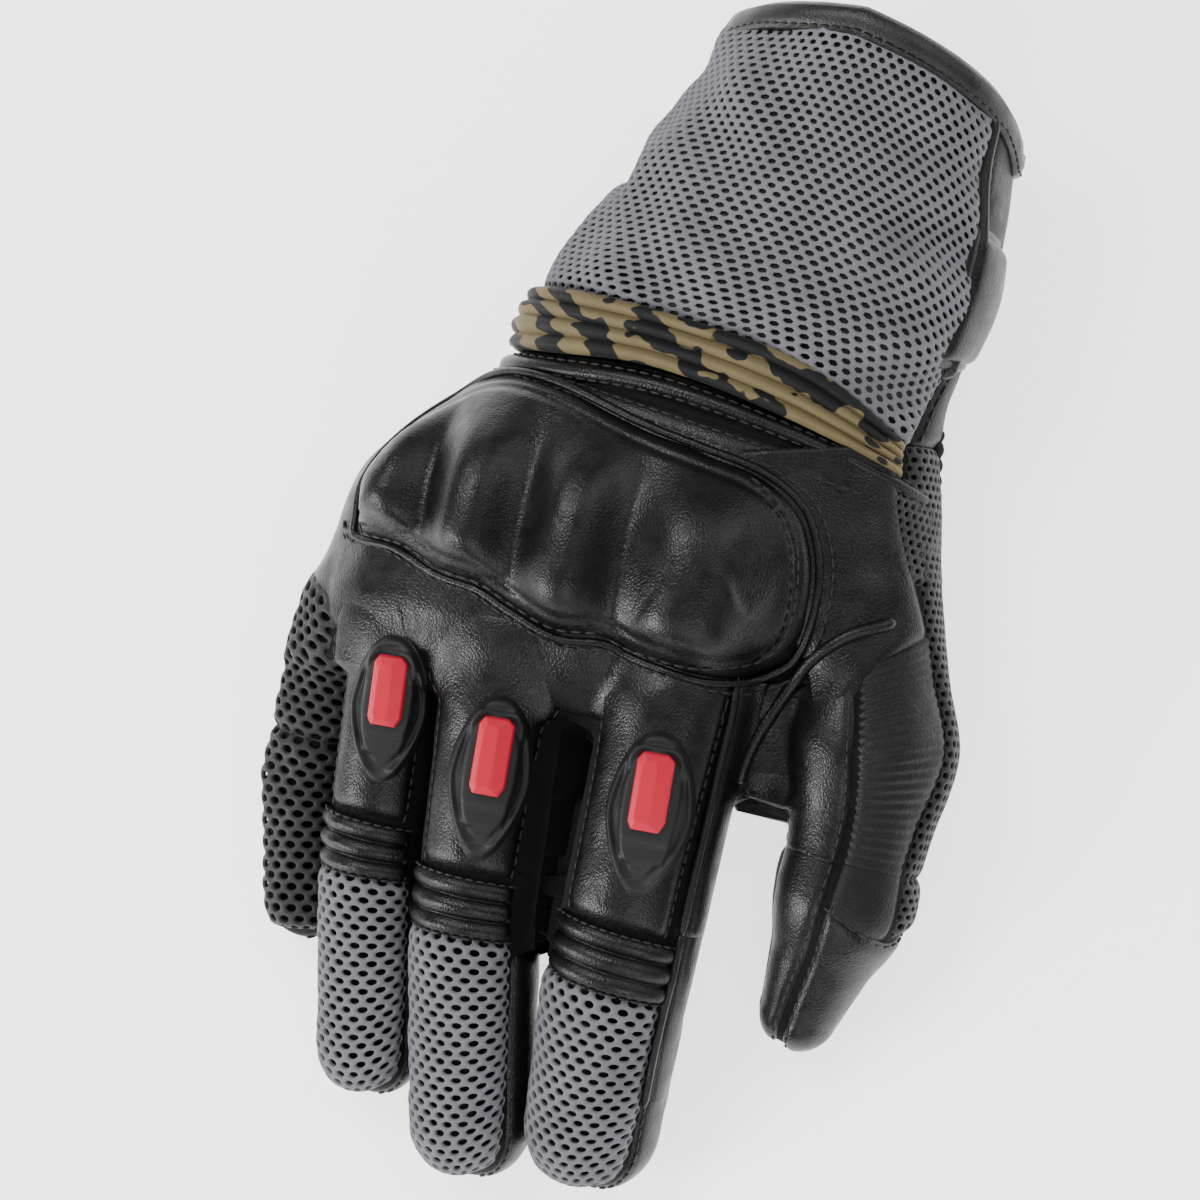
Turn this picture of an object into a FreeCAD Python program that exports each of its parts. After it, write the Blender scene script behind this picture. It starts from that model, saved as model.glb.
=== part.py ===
"""Riding glove for the right hand, lying palm down.

Frame, in millimetres: +Z out of the back of the hand, -Y along the fingers, +X towards the thumb.
The origin is under the middle of the glove, on the surface that the palm rests on.
Every size sits in the spreadsheet "sizes"; the pieces are bound to its cells.
"""

import FreeCAD
import Part
import math
import os

Vector = FreeCAD.Vector
Placement = FreeCAD.Placement
Rotation = FreeCAD.Rotation

FINGERS = ("index", "middle", "ring", "little")
DIGITS = FINGERS + ("thumb",)
ARMOURED = ("index", "middle", "ring")

# One digit: root joint (x, y, z), heading and slope of its first part in degrees, its length,
# then heading, slope and length of its second part, and the outer radii at root, bend and tip.
DIGIT_WORDS = (
    "x", "y", "z", "heading", "slope", "length", "end_heading", "end_slope", "end_length",
    "root_radius", "bend_radius", "tip_radius",
)
DIGIT_SIZES = {
    "index": (27, -27, 33, 15.3, 9.0, 57.7, 14.6, 15.2, 40.9, 16.0, 15.3, 13.2),
    "middle": (-11, -15.7, 33, 10.6, 8.4, 54.8, 5.7, 14.3, 50.0, 13.5, 13.3, 12.5),
    "ring": (-35, -8.6, 30, 12.3, 10.6, 48.7, 5.7, 13.2, 45.4, 11.3, 11.3, 10.5),
    "little": (-55.8, -2.7, 24, 17.9, 13.9, 37.5, 3.1, 11.7, 28.9, 10.2, 10.2, 9.1),
    "thumb": (68, -38, 21.5, 12.8, 6.0, 34.0, 27.6, 18.0, 24.0, 16.2, 14.2, 9.6),
}

# Elliptical sections of the hand and of the cuff: centre (x, y, z), half width, half height,
# the section line's heading in the plan and its roll, in degrees.
SECTION_WORDS = ("x", "y", "z", "half_width", "half_height", "heading", "roll")
SECTIONS = {
    "knuckle": (-10.7, -12.6, 25, 56, 25.5, -16.5, 5),
    "palm": (13, 10, 25, 61, 26, -17.5, 3),
    "wrist": (31.5, 32.5, 25, 48, 24, -20, 1),
    "cuff_base": (36.5, 44.5, 27, 46.5, 23.5, -21.7, 0),
    "cuff_middle": (56.5, 74, 30, 41, 24.5, -22.5, 0),
    "cuff_mouth": (72.8, 106, 33, 33, 27, -25.8, 0),
}

SIZES = {
    "frame_x": 14.13, "frame_y": -6.24,
    "leather": 2.0, "skin_gap": 0.2, "lining": 0.8, "flat_height": 1.4,
    "knuckle_gap": 3.0, "ring_inset": 1.2, "bend_gap": 7.0, "crease_gap": 2.2,
    "root_relief": 40, "bend_relief": 43, "palm_relief": 36, "palm_pivot": 33,
    "pivot_clear": 0.6, "side_share": 0.32, "rib_pitch": 4.5, "rib_radius": 1.5, "cover_reach": 4.8,
    "palm_split": 15.0, "back_split": 27.0, "ball_swell": 0.6,
    "thumb_base_x": 75, "thumb_base_y": 5, "thumb_base_z": 24, "thumb_base_radius": 19,
    "thumb_roll": 40,
    "guard_floor": 32, "guard_foam": 2.8, "guard_shell": 1.8, "guard_cover": 1.2,
    "guard_bump_width": 11, "guard_bump_length": 14, "guard_bump_rise": 7,
    "patch_width": 34, "patch_length": 19, "patch_thick": 1.3, "patch_corner": 6,
    "patch_x": 19, "patch_y": 18, "patch_heading": -17.5,
    "wrist_rib_start": 1.0, "wrist_rib_width": 3.0, "wrist_rib_pitch": 3.5, "wrist_rib_proud": 1.0,
    "cuff_wall": 2.4, "cuff_split": 24.0, "binding_width": 7.0, "binding_proud": 1.0,
    "strap_low": -29, "strap_high": 6, "strap_root": 10, "strap_end": 24, "strap_thick": 2.0,
    "loop_thick": 1.0, "hook_thick": 0.8, "hook_gap": 0.3, "hook_margin": 5,
    "slider_length": 33, "slider_width": 17, "slider_base": 1.6, "slider_ridge": 3.4,
    "slider_ridge_width": 10, "insert_length": 17.5, "insert_width": 7.6, "insert_rise": 1.6,
}

FAR = 400
GUARD_OUTLINE = (
    (-45, 13), (-42, 27), (-21, 44), (3, 38), (30, 29.5), (55, 17), (61, -2), (55, -19),
    (38, -25.5), (15, -17), (2, -13), (-11, -3.5), (-30, 4),
)
BUMPS = ((35, -6), (12, 6), (-12, 14), (-34, 17))

doc = FreeCAD.newDocument("riding_glove")
sheet = doc.addObject("Spreadsheet::Sheet", "sizes")
subparts = {}


def fill_sheet():
    """Writes every driving dimension into its own cell, with an alias."""
    rows = dict(SIZES)
    for digit, numbers in DIGIT_SIZES.items():
        rows.update({f"{digit}_{word}": n for word, n in zip(DIGIT_WORDS, numbers)})
    for section, numbers in SECTIONS.items():
        rows.update({f"{section}_{word}": n for word, n in zip(SECTION_WORDS, numbers)})
    for row, (alias, number) in enumerate(rows.items(), start=1):
        sheet.set(f"A{row}", alias)
        sheet.set(f"B{row}", str(number))
        sheet.setAlias(f"B{row}", alias)
    doc.recompute()


def size(alias):
    """A driving dimension, read back from its cell."""
    return float(getattr(sheet, alias))


def in_frame(x, y, z):
    """A point of the glove's plan, counted from the frame's origin."""
    return Vector(x - size("frame_x"), y - size("frame_y"), z)


def keep(node, thing):
    """Marks a document object as the sub-part that is written out under this name."""
    thing.Label = node
    subparts[node] = thing
    return thing


def primitive(kind, name, place, **sizes):
    """A Part primitive with its sizes bound to the sheet, at a Placement."""
    thing = doc.addObject("Part::" + kind, name)
    for prop, expression in sizes.items():
        thing.setExpression(prop, str(expression))
    thing.Placement = place
    return thing


def cut(name, base, tool):
    thing = doc.addObject("Part::Cut", name)
    thing.Refine = False
    thing.Base, thing.Tool = base, tool
    return thing


def common(name, base, tool):
    thing = doc.addObject("Part::Common", name)
    thing.Refine = False
    thing.Base, thing.Tool = base, tool
    return thing


def fuse(name, *shapes):
    thing = doc.addObject("Part::MultiFuse", name)
    thing.Refine = False
    thing.Shapes = list(shapes)
    return thing


def group(name, *shapes):
    """Separate solids that share one node."""
    thing = doc.addObject("Part::Compound", name)
    thing.Links = list(shapes)
    return thing


def moved(place, x=0, y=0, z=0, turn=0):
    """A place inside another one: shifted, then turned about its own X, in degrees."""
    return place.multiply(Placement(Vector(x, y, z), Rotation(Vector(1, 0, 0), turn)))


def half_space(name, place, low_y=None, high_y=None):
    """A large block that holds local y from low_y up, up to high_y, or between them."""
    low = -FAR / 2 if low_y is None else low_y
    high = FAR / 2 if high_y is None else high_y
    block = doc.addObject("Part::Box", name)
    block.Length, block.Width, block.Height = FAR, high - low, FAR
    block.Placement = moved(place, -FAR / 2, low, -FAR / 2)
    return block


def block_between(name, place, x=(-FAR / 2, FAR / 2), y=(-FAR / 2, FAR / 2), z=(-FAR / 2, FAR / 2)):
    """A block between two values on each local axis."""
    block = doc.addObject("Part::Box", name)
    block.Length, block.Width, block.Height = x[1] - x[0], y[1] - y[0], z[1] - z[0]
    block.Placement = moved(place, x[0], y[0], z[0])
    return block


def relief(name, place, z, angle):
    """A block whose face leans into a segment on its palm side, so that the joint can close.

    The face passes through local y 0 at z; a positive angle frees the segment's start.
    """
    wedge = doc.addObject("Part::Box", name)
    wedge.Length, wedge.Width, wedge.Height = 90, 60, 60
    if angle > 0:
        corner = Placement(Vector(-45, -60, -60), Rotation())
    else:
        corner = Placement(Vector(-45, -60, 0), Rotation())
    tilt = Placement(Vector(0, 0, z), Rotation(Vector(1, 0, 0), -angle))
    wedge.Placement = place.multiply(tilt).multiply(corner)
    return wedge


def direction(heading, slope):
    """Unit vector of a digit's part: heading turns from -Y towards -X, slope dips it."""
    h, s = math.radians(heading), math.radians(slope)
    return Vector(-math.sin(h) * math.cos(s), -math.cos(h) * math.cos(s), -math.sin(s))


def digit_frame(origin, along, roll):
    """Local frame of a digit's part: Z along it, X on its hinge axis, Y out of its back."""
    across = Vector(-along.y, along.x, 0)
    across.normalize()
    back = along.cross(across)
    turned = Rotation(along, roll)
    return Placement(origin, Rotation(turned.multVec(across), turned.multVec(back), along, "ZXY"))


def digit_places(digit):
    """Placements of a digit's first and second parts."""
    roll = -size("thumb_roll") if digit == "thumb" else 0
    root = in_frame(*(size(f"{digit}_{axis}") for axis in "xyz"))
    first = direction(size(f"{digit}_heading"), size(f"{digit}_slope"))
    bend = root + first * size(f"{digit}_length")
    second = direction(size(f"{digit}_end_heading"), size(f"{digit}_end_slope"))
    return digit_frame(root, first, roll), digit_frame(bend, second, roll)


def wall_pair(name, place, start, length, radius_one, radius_two, tip=None):
    """Outer solid and inner solid of a conical sleeve; a tip radius rounds off its far end."""
    solids = []
    for side, inset in (("outer", "0 mm"), ("inner", "sizes.leather * 1 mm")):
        cone = primitive(
            "Cone", f"{name}_{side}", moved(place, z=start),
            Radius1=f"{radius_one} - {inset}", Radius2=f"{radius_two} - {inset}", Height=length,
        )
        if tip:
            end = start + length_of(length)
            cap = primitive("Sphere", f"{name}_{side}_cap", moved(place, z=end), Radius=f"{tip} - {inset}")
            cone = fuse(f"{name}_{side}_round", cone, cap)
        solids.append(cone)
    return solids


def length_of(expression):
    """The number that a length expression of the sheet stands for."""
    return float(sheet.evalExpression(expression).Value)


def first_part(digit, place):
    """Sleeve of the first part: back leather, palm leather and two side walls."""
    root, bend = f"sizes.{digit}_root_radius * 1 mm", f"sizes.{digit}_bend_radius * 1 mm"
    long = f"(sizes.{digit}_length - sizes.knuckle_gap - sizes.bend_gap) * 1 mm"
    outer, inner = wall_pair(f"{digit}_first", place, size("knuckle_gap"), long, root, bend)
    clear = size("pivot_clear")
    tube = cut(f"{digit}_first_tube", outer, inner)
    open_root = cut(
        f"{digit}_first_root", tube,
        relief(f"{digit}_first_root_relief", place, clear, size("root_relief")),
    )
    sleeve = cut(
        f"{digit}_first_sleeve", open_root,
        relief(f"{digit}_first_bend_relief", place, size(f"{digit}_length") - clear, -size("bend_relief")),
    )
    share = size("side_share") * size(f"{digit}_bend_radius")
    gap = size("skin_gap") / 2
    back = half_space(f"{digit}_first_back_side", place, low_y=share + gap)
    palm = half_space(f"{digit}_first_palm_side", place, high_y=-share - gap)
    sides = half_space(f"{digit}_first_sides", place, -share + gap, share - gap)
    back_name = "thumb_back_mesh" if digit == "thumb" else f"{digit}_back_leather"
    keep(back_name, common(f"{digit}_back", sleeve, back))
    keep(f"{digit}_palm_leather", common(f"{digit}_palm", sleeve, palm))
    keep(f"{digit}_sidewalls", common(f"{digit}_sides", sleeve, sides))


def second_part(digit, place):
    """Closed end of the digit: the back panel and the leather that wraps palm side and tip."""
    bend, tip = f"sizes.{digit}_bend_radius * 1 mm", f"sizes.{digit}_tip_radius * 1 mm"
    long = f"(sizes.{digit}_end_length - sizes.bend_gap) * 1 mm"
    outer, inner = wall_pair(f"{digit}_end", place, size("bend_gap"), long, bend, tip, tip)
    hollow = cut(f"{digit}_end_hollow", outer, inner)
    sleeve = cut(
        f"{digit}_end_sleeve", hollow,
        relief(f"{digit}_end_relief", place, size("pivot_clear"), size("bend_relief")),
    )
    share = size("side_share") * size(f"{digit}_tip_radius")
    gap = size("skin_gap") / 2
    back = half_space(f"{digit}_end_back_side", place, low_y=share + gap)
    palm = half_space(f"{digit}_end_palm_side", place, high_y=share - gap)
    back_name = "thumb_tip_back" if digit == "thumb" else f"{digit}_tip_mesh"
    keep(back_name, common(f"{digit}_tip_back", sleeve, back))
    keep(f"{digit}_tip_leather", common(f"{digit}_tip_palm", sleeve, palm))


def bend_pieces(digit, first, second):
    """What bridges the middle joint: padded ribs on the back, soft skin on the palm side."""
    middle, gap = size(f"{digit}_length"), size("skin_gap")
    share = size("side_share") * size(f"{digit}_bend_radius")
    pitch = size("rib_pitch")
    if digit in ARMOURED:
        middle_place = moved(first, z=middle)
        between = Placement(middle_place.Base, middle_place.Rotation.slerp(second.Rotation, 0.5))
        spots = (moved(first, z=middle - pitch), between, moved(second, z=pitch))
        ribs = []
        for number, spot in enumerate(spots, start=1):
            ring = primitive(
                "Torus", f"{digit}_rib_ring_{number}", spot,
                Radius1=f"(sizes.{digit}_bend_radius - sizes.rib_radius / 2) * 1 mm",
                Radius2="sizes.rib_radius * 1 mm",
            )
            upper = half_space(f"{digit}_rib_side_{number}", spot, low_y=share + gap)
            ribs.append(common(f"{digit}_rib_{number}", ring, upper))
        keep(f"{digit}_stretch_ribs", group(f"{digit}_ribs", *ribs))

    bend = f"sizes.{digit}_bend_radius * 1 mm"
    clear = size("pivot_clear") - gap
    start = size("crease_gap")
    halves = []
    sides = (
        ("rear", first, middle - 30, "(30 - sizes.crease_gap) * 1 mm", middle - clear, -size("bend_relief")),
        ("front", second, start, "(30 - sizes.crease_gap) * 1 mm", clear, size("bend_relief")),
    )
    for side, place, low, long, face, angle in sides:
        outer, inner = wall_pair(f"{digit}_crease_{side}", place, low, long, bend, bend)
        ring = cut(f"{digit}_crease_{side}_ring", outer, inner)
        wedge = relief(f"{digit}_crease_{side}_wedge", place, face, angle)
        halves.append(common(f"{digit}_crease_{side}_half", ring, wedge))
    if digit in ARMOURED:
        keep(f"{digit}_bend_leather", group(f"{digit}_crease", *halves))
        return
    between = Placement(second.Base, first.Rotation.slerp(second.Rotation, 0.5))
    outer, inner = wall_pair(
        f"{digit}_cover", between, -size("cover_reach"), "2 * sizes.cover_reach * 1 mm", bend, bend
    )
    ring = cut(f"{digit}_cover_ring", outer, inner)
    upper = half_space(f"{digit}_cover_side", between, low_y=share)
    halves.append(common(f"{digit}_cover", ring, upper))
    keep(f"{digit}_bend_mesh", group(f"{digit}_crease", *halves))


def root_ring(digit, place):
    """Short soft ring that joins a digit's sleeve to the hand."""
    root = f"sizes.{digit}_root_radius * 1 mm"
    start = size("ring_inset") - size("knuckle_gap")
    long = "2 * (sizes.knuckle_gap - sizes.ring_inset) * 1 mm"
    outer, inner = wall_pair(f"{digit}_root_ring", place, start, long, root, root)
    return cut(f"{digit}_root_soft", outer, inner)


def origin_plane(body, role):
    return next(f for f in body.Origin.OriginFeatures if f.Role == role)


def sketch_on(body, name, offset=0):
    """A sketch on the body's own XY plane, lifted by offset."""
    sketch = body.newObject("Sketcher::SketchObject", name)
    sketch.AttachmentSupport = (origin_plane(body, "XY_Plane"), [""])
    sketch.MapMode = "FlatFace"
    sketch.AttachmentOffset = Placement(Vector(0, 0, offset), Rotation())
    return sketch


def centred_rectangle(sketch, length, width):
    """A rectangle about the sketch's origin with its sides bound to two expressions."""
    import Sketcher

    corners = [Vector(-5, -3, 0), Vector(5, -3, 0), Vector(5, 3, 0), Vector(-5, 3, 0)]
    for n in range(4):
        sketch.addGeometry(Part.LineSegment(corners[n], corners[(n + 1) % 4]), False)
    for n in range(4):
        sketch.addConstraint(Sketcher.Constraint("Coincident", n, 2, (n + 1) % 4, 1))
    for n, kind in enumerate(("Horizontal", "Vertical", "Horizontal", "Vertical")):
        sketch.addConstraint(Sketcher.Constraint(kind, n))
    sketch.addConstraint(Sketcher.Constraint("Symmetric", 0, 1, 2, 1, -1, 1))
    wide = sketch.addConstraint(Sketcher.Constraint("DistanceX", 0, 1, 0, 2, 10))
    tall = sketch.addConstraint(Sketcher.Constraint("DistanceY", 1, 1, 1, 2, 6))
    sketch.setExpression(f"Constraints[{wide}]", length)
    sketch.setExpression(f"Constraints[{tall}]", width)


def stadium(sketch, length, width):
    """A slot outline about the sketch's origin: two straight sides and two round ends."""
    import Sketcher

    half, radius = 6, 4
    sketch.addGeometry(Part.LineSegment(Vector(-half, radius, 0), Vector(half, radius, 0)), False)
    circle = Part.Circle(Vector(half, 0, 0), Vector(0, 0, 1), radius)
    sketch.addGeometry(Part.ArcOfCircle(circle, -math.pi / 2, math.pi / 2), False)
    sketch.addGeometry(Part.LineSegment(Vector(half, -radius, 0), Vector(-half, -radius, 0)), False)
    circle = Part.Circle(Vector(-half, 0, 0), Vector(0, 0, 1), radius)
    sketch.addGeometry(Part.ArcOfCircle(circle, math.pi / 2, 3 * math.pi / 2), False)
    for first, start, second, end in ((0, 2, 1, 2), (1, 1, 2, 1), (2, 2, 3, 2), (3, 1, 0, 1)):
        sketch.addConstraint(Sketcher.Constraint("Tangent", first, start, second, end))
    sketch.addConstraint(Sketcher.Constraint("Horizontal", 0))
    sketch.addConstraint(Sketcher.Constraint("Symmetric", 1, 3, 3, 3, -1, 1))
    span = sketch.addConstraint(Sketcher.Constraint("DistanceX", 3, 3, 1, 3, 12))
    round_end = sketch.addConstraint(Sketcher.Constraint("Radius", 1, 4))
    sketch.setExpression(f"Constraints[{span}]", f"{length} - {width}")
    sketch.setExpression(f"Constraints[{round_end}]", f"{width} / 2")


def pad(body, sketch, name, length):
    feature = body.newObject("PartDesign::Pad", name)
    feature.Profile = sketch
    feature.setExpression("Length", length)
    body.Tip = feature
    doc.recompute()
    return feature


def chamfer_top(body, feature, name, height, length):
    """Bevels the edges of a pad's top face."""
    edges = [
        f"Edge{n}" for n, edge in enumerate(feature.Shape.Edges, start=1)
        if all(abs(v.Z - height) < 1e-4 for v in edge.Vertexes)
    ]
    bevel = body.newObject("PartDesign::Chamfer", name)
    bevel.Base = (feature, edges)
    bevel.Size = length
    body.Tip = bevel
    doc.recompute()
    return bevel


def slider_place(digit, place):
    """On the back of a finger's first part, in the middle of its length, lying along it."""
    middle = (size("knuckle_gap") + size(f"{digit}_length") - size("bend_gap")) / 2
    reach = (size(f"{digit}_root_radius") + size(f"{digit}_bend_radius")) / 2 + size("skin_gap")
    lying = Placement(Vector(0, reach, middle), Rotation(Vector(0, 0, 1), Vector(1, 0, 0), Vector(0, 1, 0), "ZXY"))
    return place.multiply(lying)


def slider(digit, place):
    """Moulded knuckle slider: a slot-shaped foot, and a ridge with a pocket for its insert."""
    at = slider_place(digit, place)
    body = doc.addObject("PartDesign::Body", f"{digit}_slider_body")
    foot = sketch_on(body, f"{digit}_slider_foot")
    stadium(foot, "sizes.slider_length * 1 mm", "sizes.slider_width * 1 mm")
    base = pad(body, foot, f"{digit}_slider_base", "sizes.slider_base * 1 mm")
    chamfer_top(body, base, f"{digit}_slider_edge", size("slider_base"), 0.6)
    ridge = sketch_on(body, f"{digit}_slider_ridge", size("slider_base") - 0.2)
    stadium(ridge, "(sizes.slider_length - 6) * 1 mm", "sizes.slider_ridge_width * 1 mm")
    raised = pad(body, ridge, f"{digit}_slider_top", "sizes.slider_ridge * 1 mm")
    top = size("slider_base") - 0.2 + size("slider_ridge")
    chamfer_top(body, raised, f"{digit}_slider_bevel", top, 1.2)
    pocket_sketch = sketch_on(body, f"{digit}_slider_seat", top)
    centred_rectangle(
        pocket_sketch, "(sizes.insert_length + 0.2) * 1 mm", "(sizes.insert_width + 0.2) * 1 mm"
    )
    pocket = body.newObject("PartDesign::Pocket", f"{digit}_slider_pocket")
    pocket.Profile = pocket_sketch
    pocket.setExpression("Length", "(sizes.insert_rise) * 1 mm")
    body.Tip = pocket
    body.Placement = at
    doc.recompute()
    keep(f"{digit}_slider", body)

    insert = doc.addObject("PartDesign::Body", f"{digit}_insert_body")
    outline = sketch_on(insert, f"{digit}_insert_outline")
    centred_rectangle(outline, "sizes.insert_length * 1 mm", "sizes.insert_width * 1 mm")
    block = pad(insert, outline, f"{digit}_insert_block", "(2 * sizes.insert_rise) * 1 mm")
    chamfer_top(insert, block, f"{digit}_insert_bevel", 2 * size("insert_rise"), 1.0)
    insert.Placement = moved(at, z=top - size("insert_rise") + 0.1)
    keep(f"{digit}_insert", insert)


def section(name, label, offset):
    """An elliptical section of the hand or cuff, grown by offset, as a wire."""
    ellipse = doc.addObject("Part::Ellipse", label)
    ellipse.setExpression("MajorRadius", f"(sizes.{name}_half_width + ({offset})) * 1 mm")
    ellipse.setExpression("MinorRadius", f"(sizes.{name}_half_height + ({offset})) * 1 mm")
    ellipse.Placement = section_place(name)
    return ellipse


def section_place(name):
    """Local frame of a section: X across, Y up, Z towards the cuff's mouth."""
    heading, roll = math.radians(size(f"{name}_heading")), size(f"{name}_roll")
    across = Vector(math.cos(heading), math.sin(heading), 0)
    along = Vector(-math.sin(heading), math.cos(heading), 0)
    turned = Rotation(along, -roll)
    place = in_frame(*(size(f"{name}_{axis}") for axis in "xyz"))
    upright = Rotation(turned.multVec(across), turned.multVec(Vector(0, 0, 1)), along * -1, "ZXY")
    return Placement(place, upright)


def loft(name, sections, offset):
    """A solid through sections, grown by offset."""
    thing = doc.addObject("Part::Loft", name)
    thing.Sections = [section(s, f"{name}_{s}", offset) for s in sections]
    thing.Solid = True
    thing.Ruled = False
    return thing


HAND = ("knuckle", "palm", "wrist")
CUFF = ("cuff_base", "cuff_middle", "cuff_mouth")
WRIST = ("wrist", "cuff_base")
LEVEL = Placement()


def upright(low, high, name):
    """Everything between two heights."""
    return block_between(name, LEVEL, z=(low, high))


def thumb_root(name, offset, further=0):
    """The root of the thumb grown by offset: a ball and a cone that reaches the thumb."""
    start = in_frame(size("thumb_base_x"), size("thumb_base_y"), size("thumb_base_z"))
    along = digit_places("thumb")[0].Base - start
    reach = along.Length - size("knuckle_gap")
    along.normalize()
    cone = primitive(
        "Cone", f"{name}_thumb_cone", digit_frame(start, along, 0),
        Radius1=f"(sizes.thumb_base_radius + ({offset})) * 1 mm",
        Radius2=f"(sizes.thumb_root_radius + ({offset})) * 1 mm",
    )
    cone.Height = reach + further
    ball = primitive(
        "Sphere", f"{name}_thumb_ball", Placement(start, Rotation()),
        Radius=f"(sizes.thumb_base_radius + sizes.ball_swell + ({offset})) * 1 mm",
    )
    return fuse(f"{name}_thumb_root", ball, cone)


def trunk_wall(name, outside, inside):
    """The trunk's wall between two offsets, open at the knuckles, the wrist and the thumb."""
    low = size("flat_height") - outside
    room = cut(f"{name}_room", loft(f"{name}_out", HAND, outside), palm_wedge(f"{name}_wedge"))
    flat = common(f"{name}_flat", room, upright(low, FAR, f"{name}_floor"))
    inner_floor = upright(low + outside - inside, FAR, f"{name}_inner_floor")
    hollow = common(f"{name}_hollow", loft(f"{name}_in", HAND, inside), inner_floor)
    tube = cut(f"{name}_tube", flat, hollow)
    return cut(f"{name}_wall", tube, thumb_root(f"{name}_in", inside))


def thumb_root_wall(name, outside, inside):
    """The wall at the thumb's root between two offsets, outside the trunk."""
    shell = cut(
        f"{name}_shell", thumb_root(f"{name}_out", outside), thumb_root(f"{name}_in", inside, 3)
    )
    return cut(f"{name}_wall", shell, loft(f"{name}_trunk", HAND, size("skin_gap")))


def palm_wedge(name):
    """The room that the fingers need in front of the palm when they close."""
    wedge = doc.addObject("Part::Box", name)
    wedge.Length, wedge.Width, wedge.Height = 2 * FAR, FAR, FAR
    pivot = Vector(0, size("palm_pivot") - size("knuckle_z"), 0)
    tilt = Placement(pivot, Rotation(Vector(1, 0, 0), size("palm_relief")))
    corner = Placement(Vector(-FAR, -FAR, 0), Rotation())
    wedge.Placement = section_place("knuckle").multiply(tilt).multiply(corner)
    return wedge


def hand_pieces():
    """Palm, back and side panels, the thumb's root, the folds and the lining."""
    gap = size("skin_gap")
    body = trunk_wall("hand", 0, -size("leather"))
    low, high = size("palm_split"), size("back_split")
    keep("palm_leather", common("hand_palm", body, upright(-FAR, low, "palm_range")))
    keep("back_leather", common("hand_back", body, upright(high, FAR, "back_range")))
    keep("side_mesh_panels", common("hand_sides", body, upright(low + gap, high - gap, "side_range")))

    behind = block_between("behind_wrist", section_place("wrist"), z=(-FAR, 0.3))
    root = cut("thenar_front", thumb_root_wall("thenar", 0, -size("leather")), behind)
    keep("thenar_leather", common("thenar_low", root, upright(-FAR, low, "thenar_range")))
    gusset = common("thenar_high", root, upright(low + gap, FAR, "gusset_range"))
    above = upright(size("guard_floor") - 1, FAR, "gusset_guard_floor")
    under_guard = common("gusset_guard", outline_prism("gusset_outline", GUARD_OUTLINE), above)
    keep("thumb_gusset_mesh", cut("gusset", gusset, under_guard))

    inside = -size("leather") - gap
    keep("hand_lining", trunk_wall("lining", inside, inside - size("lining")))

    skin = cut("fold_skin", loft("fold_out", HAND, 0), loft("fold_in", HAND, -size("leather")))
    fold = common("fold_front", skin, palm_wedge("fold_wedge"))
    keep("palm_fold", common("fold_above_floor", fold, upright(size("flat_height"), FAR, "fold_floor")))

    rings = []
    front = block_between("knuckle_front", section_place("knuckle"), z=(0.3, FAR))
    for digit in FINGERS:
        ring = root_ring(digit, digit_places(digit)[0])
        rings.append(common(f"{digit}_root_soft_front", ring, front))
    rings.append(root_ring("thumb", digit_places("thumb")[0]))
    keep("root_flex_bands", group("root_rings", *rings))


def outline_prism(name, outline):
    """An upright block with the given outline in the plan."""
    points = [in_frame(x, y, 0) for x, y in outline]
    curve = Part.BSplineCurve()
    curve.interpolate(points, PeriodicFlag=True)
    prism = doc.addObject("Part::Feature", name)
    face = Part.Face(Part.Wire(curve.toShape()))
    prism.Shape = face.extrude(Vector(0, 0, 2 * FAR))
    return prism


def guard_layer(name, low, high, bumps=()):
    """One layer of the knuckle guard between two offsets from the hand."""
    solid = loft(f"{name}_out", HAND, high)
    if bumps:
        solid = fuse(f"{name}_bumped", solid, *bumps)
    layer = cut(f"{name}_layer", solid, loft(f"{name}_in", HAND, low))
    upper = common(f"{name}_cap", layer, outline_prism(f"{name}_outline", GUARD_OUTLINE))
    above = upright(size("guard_floor"), FAR, f"{name}_above")
    return common(name, upper, above)


def guard():
    """Knuckle guard: foam on the hand, a hard shell, and a leather cover with four bumps."""
    gap = size("skin_gap")
    foam = gap + size("guard_foam")
    shell = foam + gap + size("guard_shell")
    cover = shell + gap + size("guard_cover")
    keep("knuckle_guard_foam", guard_layer("guard_foam_part", gap, foam))
    keep("knuckle_guard_shell", guard_layer("guard_shell_part", foam + gap, shell))
    bumps = []
    knuckle = section_place("knuckle")
    for number, (x, y) in enumerate(BUMPS, start=1):
        level = knuckle.inverse().multVec(in_frame(x, y, size("knuckle_z")))
        share = level.x / (size("knuckle_half_width") + cover)
        rise = (size("knuckle_half_height") + shell) * math.sqrt(1 - share * share)
        centre = in_frame(x, y, size("knuckle_z") + rise)
        bumps.append(primitive(
            "Ellipsoid", f"guard_bump_{number}", Placement(centre, knuckle.Rotation),
            Radius1="sizes.guard_bump_length * 1 mm", Radius2="sizes.guard_bump_width * 1 mm",
            Radius3="sizes.guard_bump_rise * 1 mm",
        ))
    keep("knuckle_guard_cover", guard_layer("guard_cover_part", shell + gap, cover, bumps))


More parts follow.
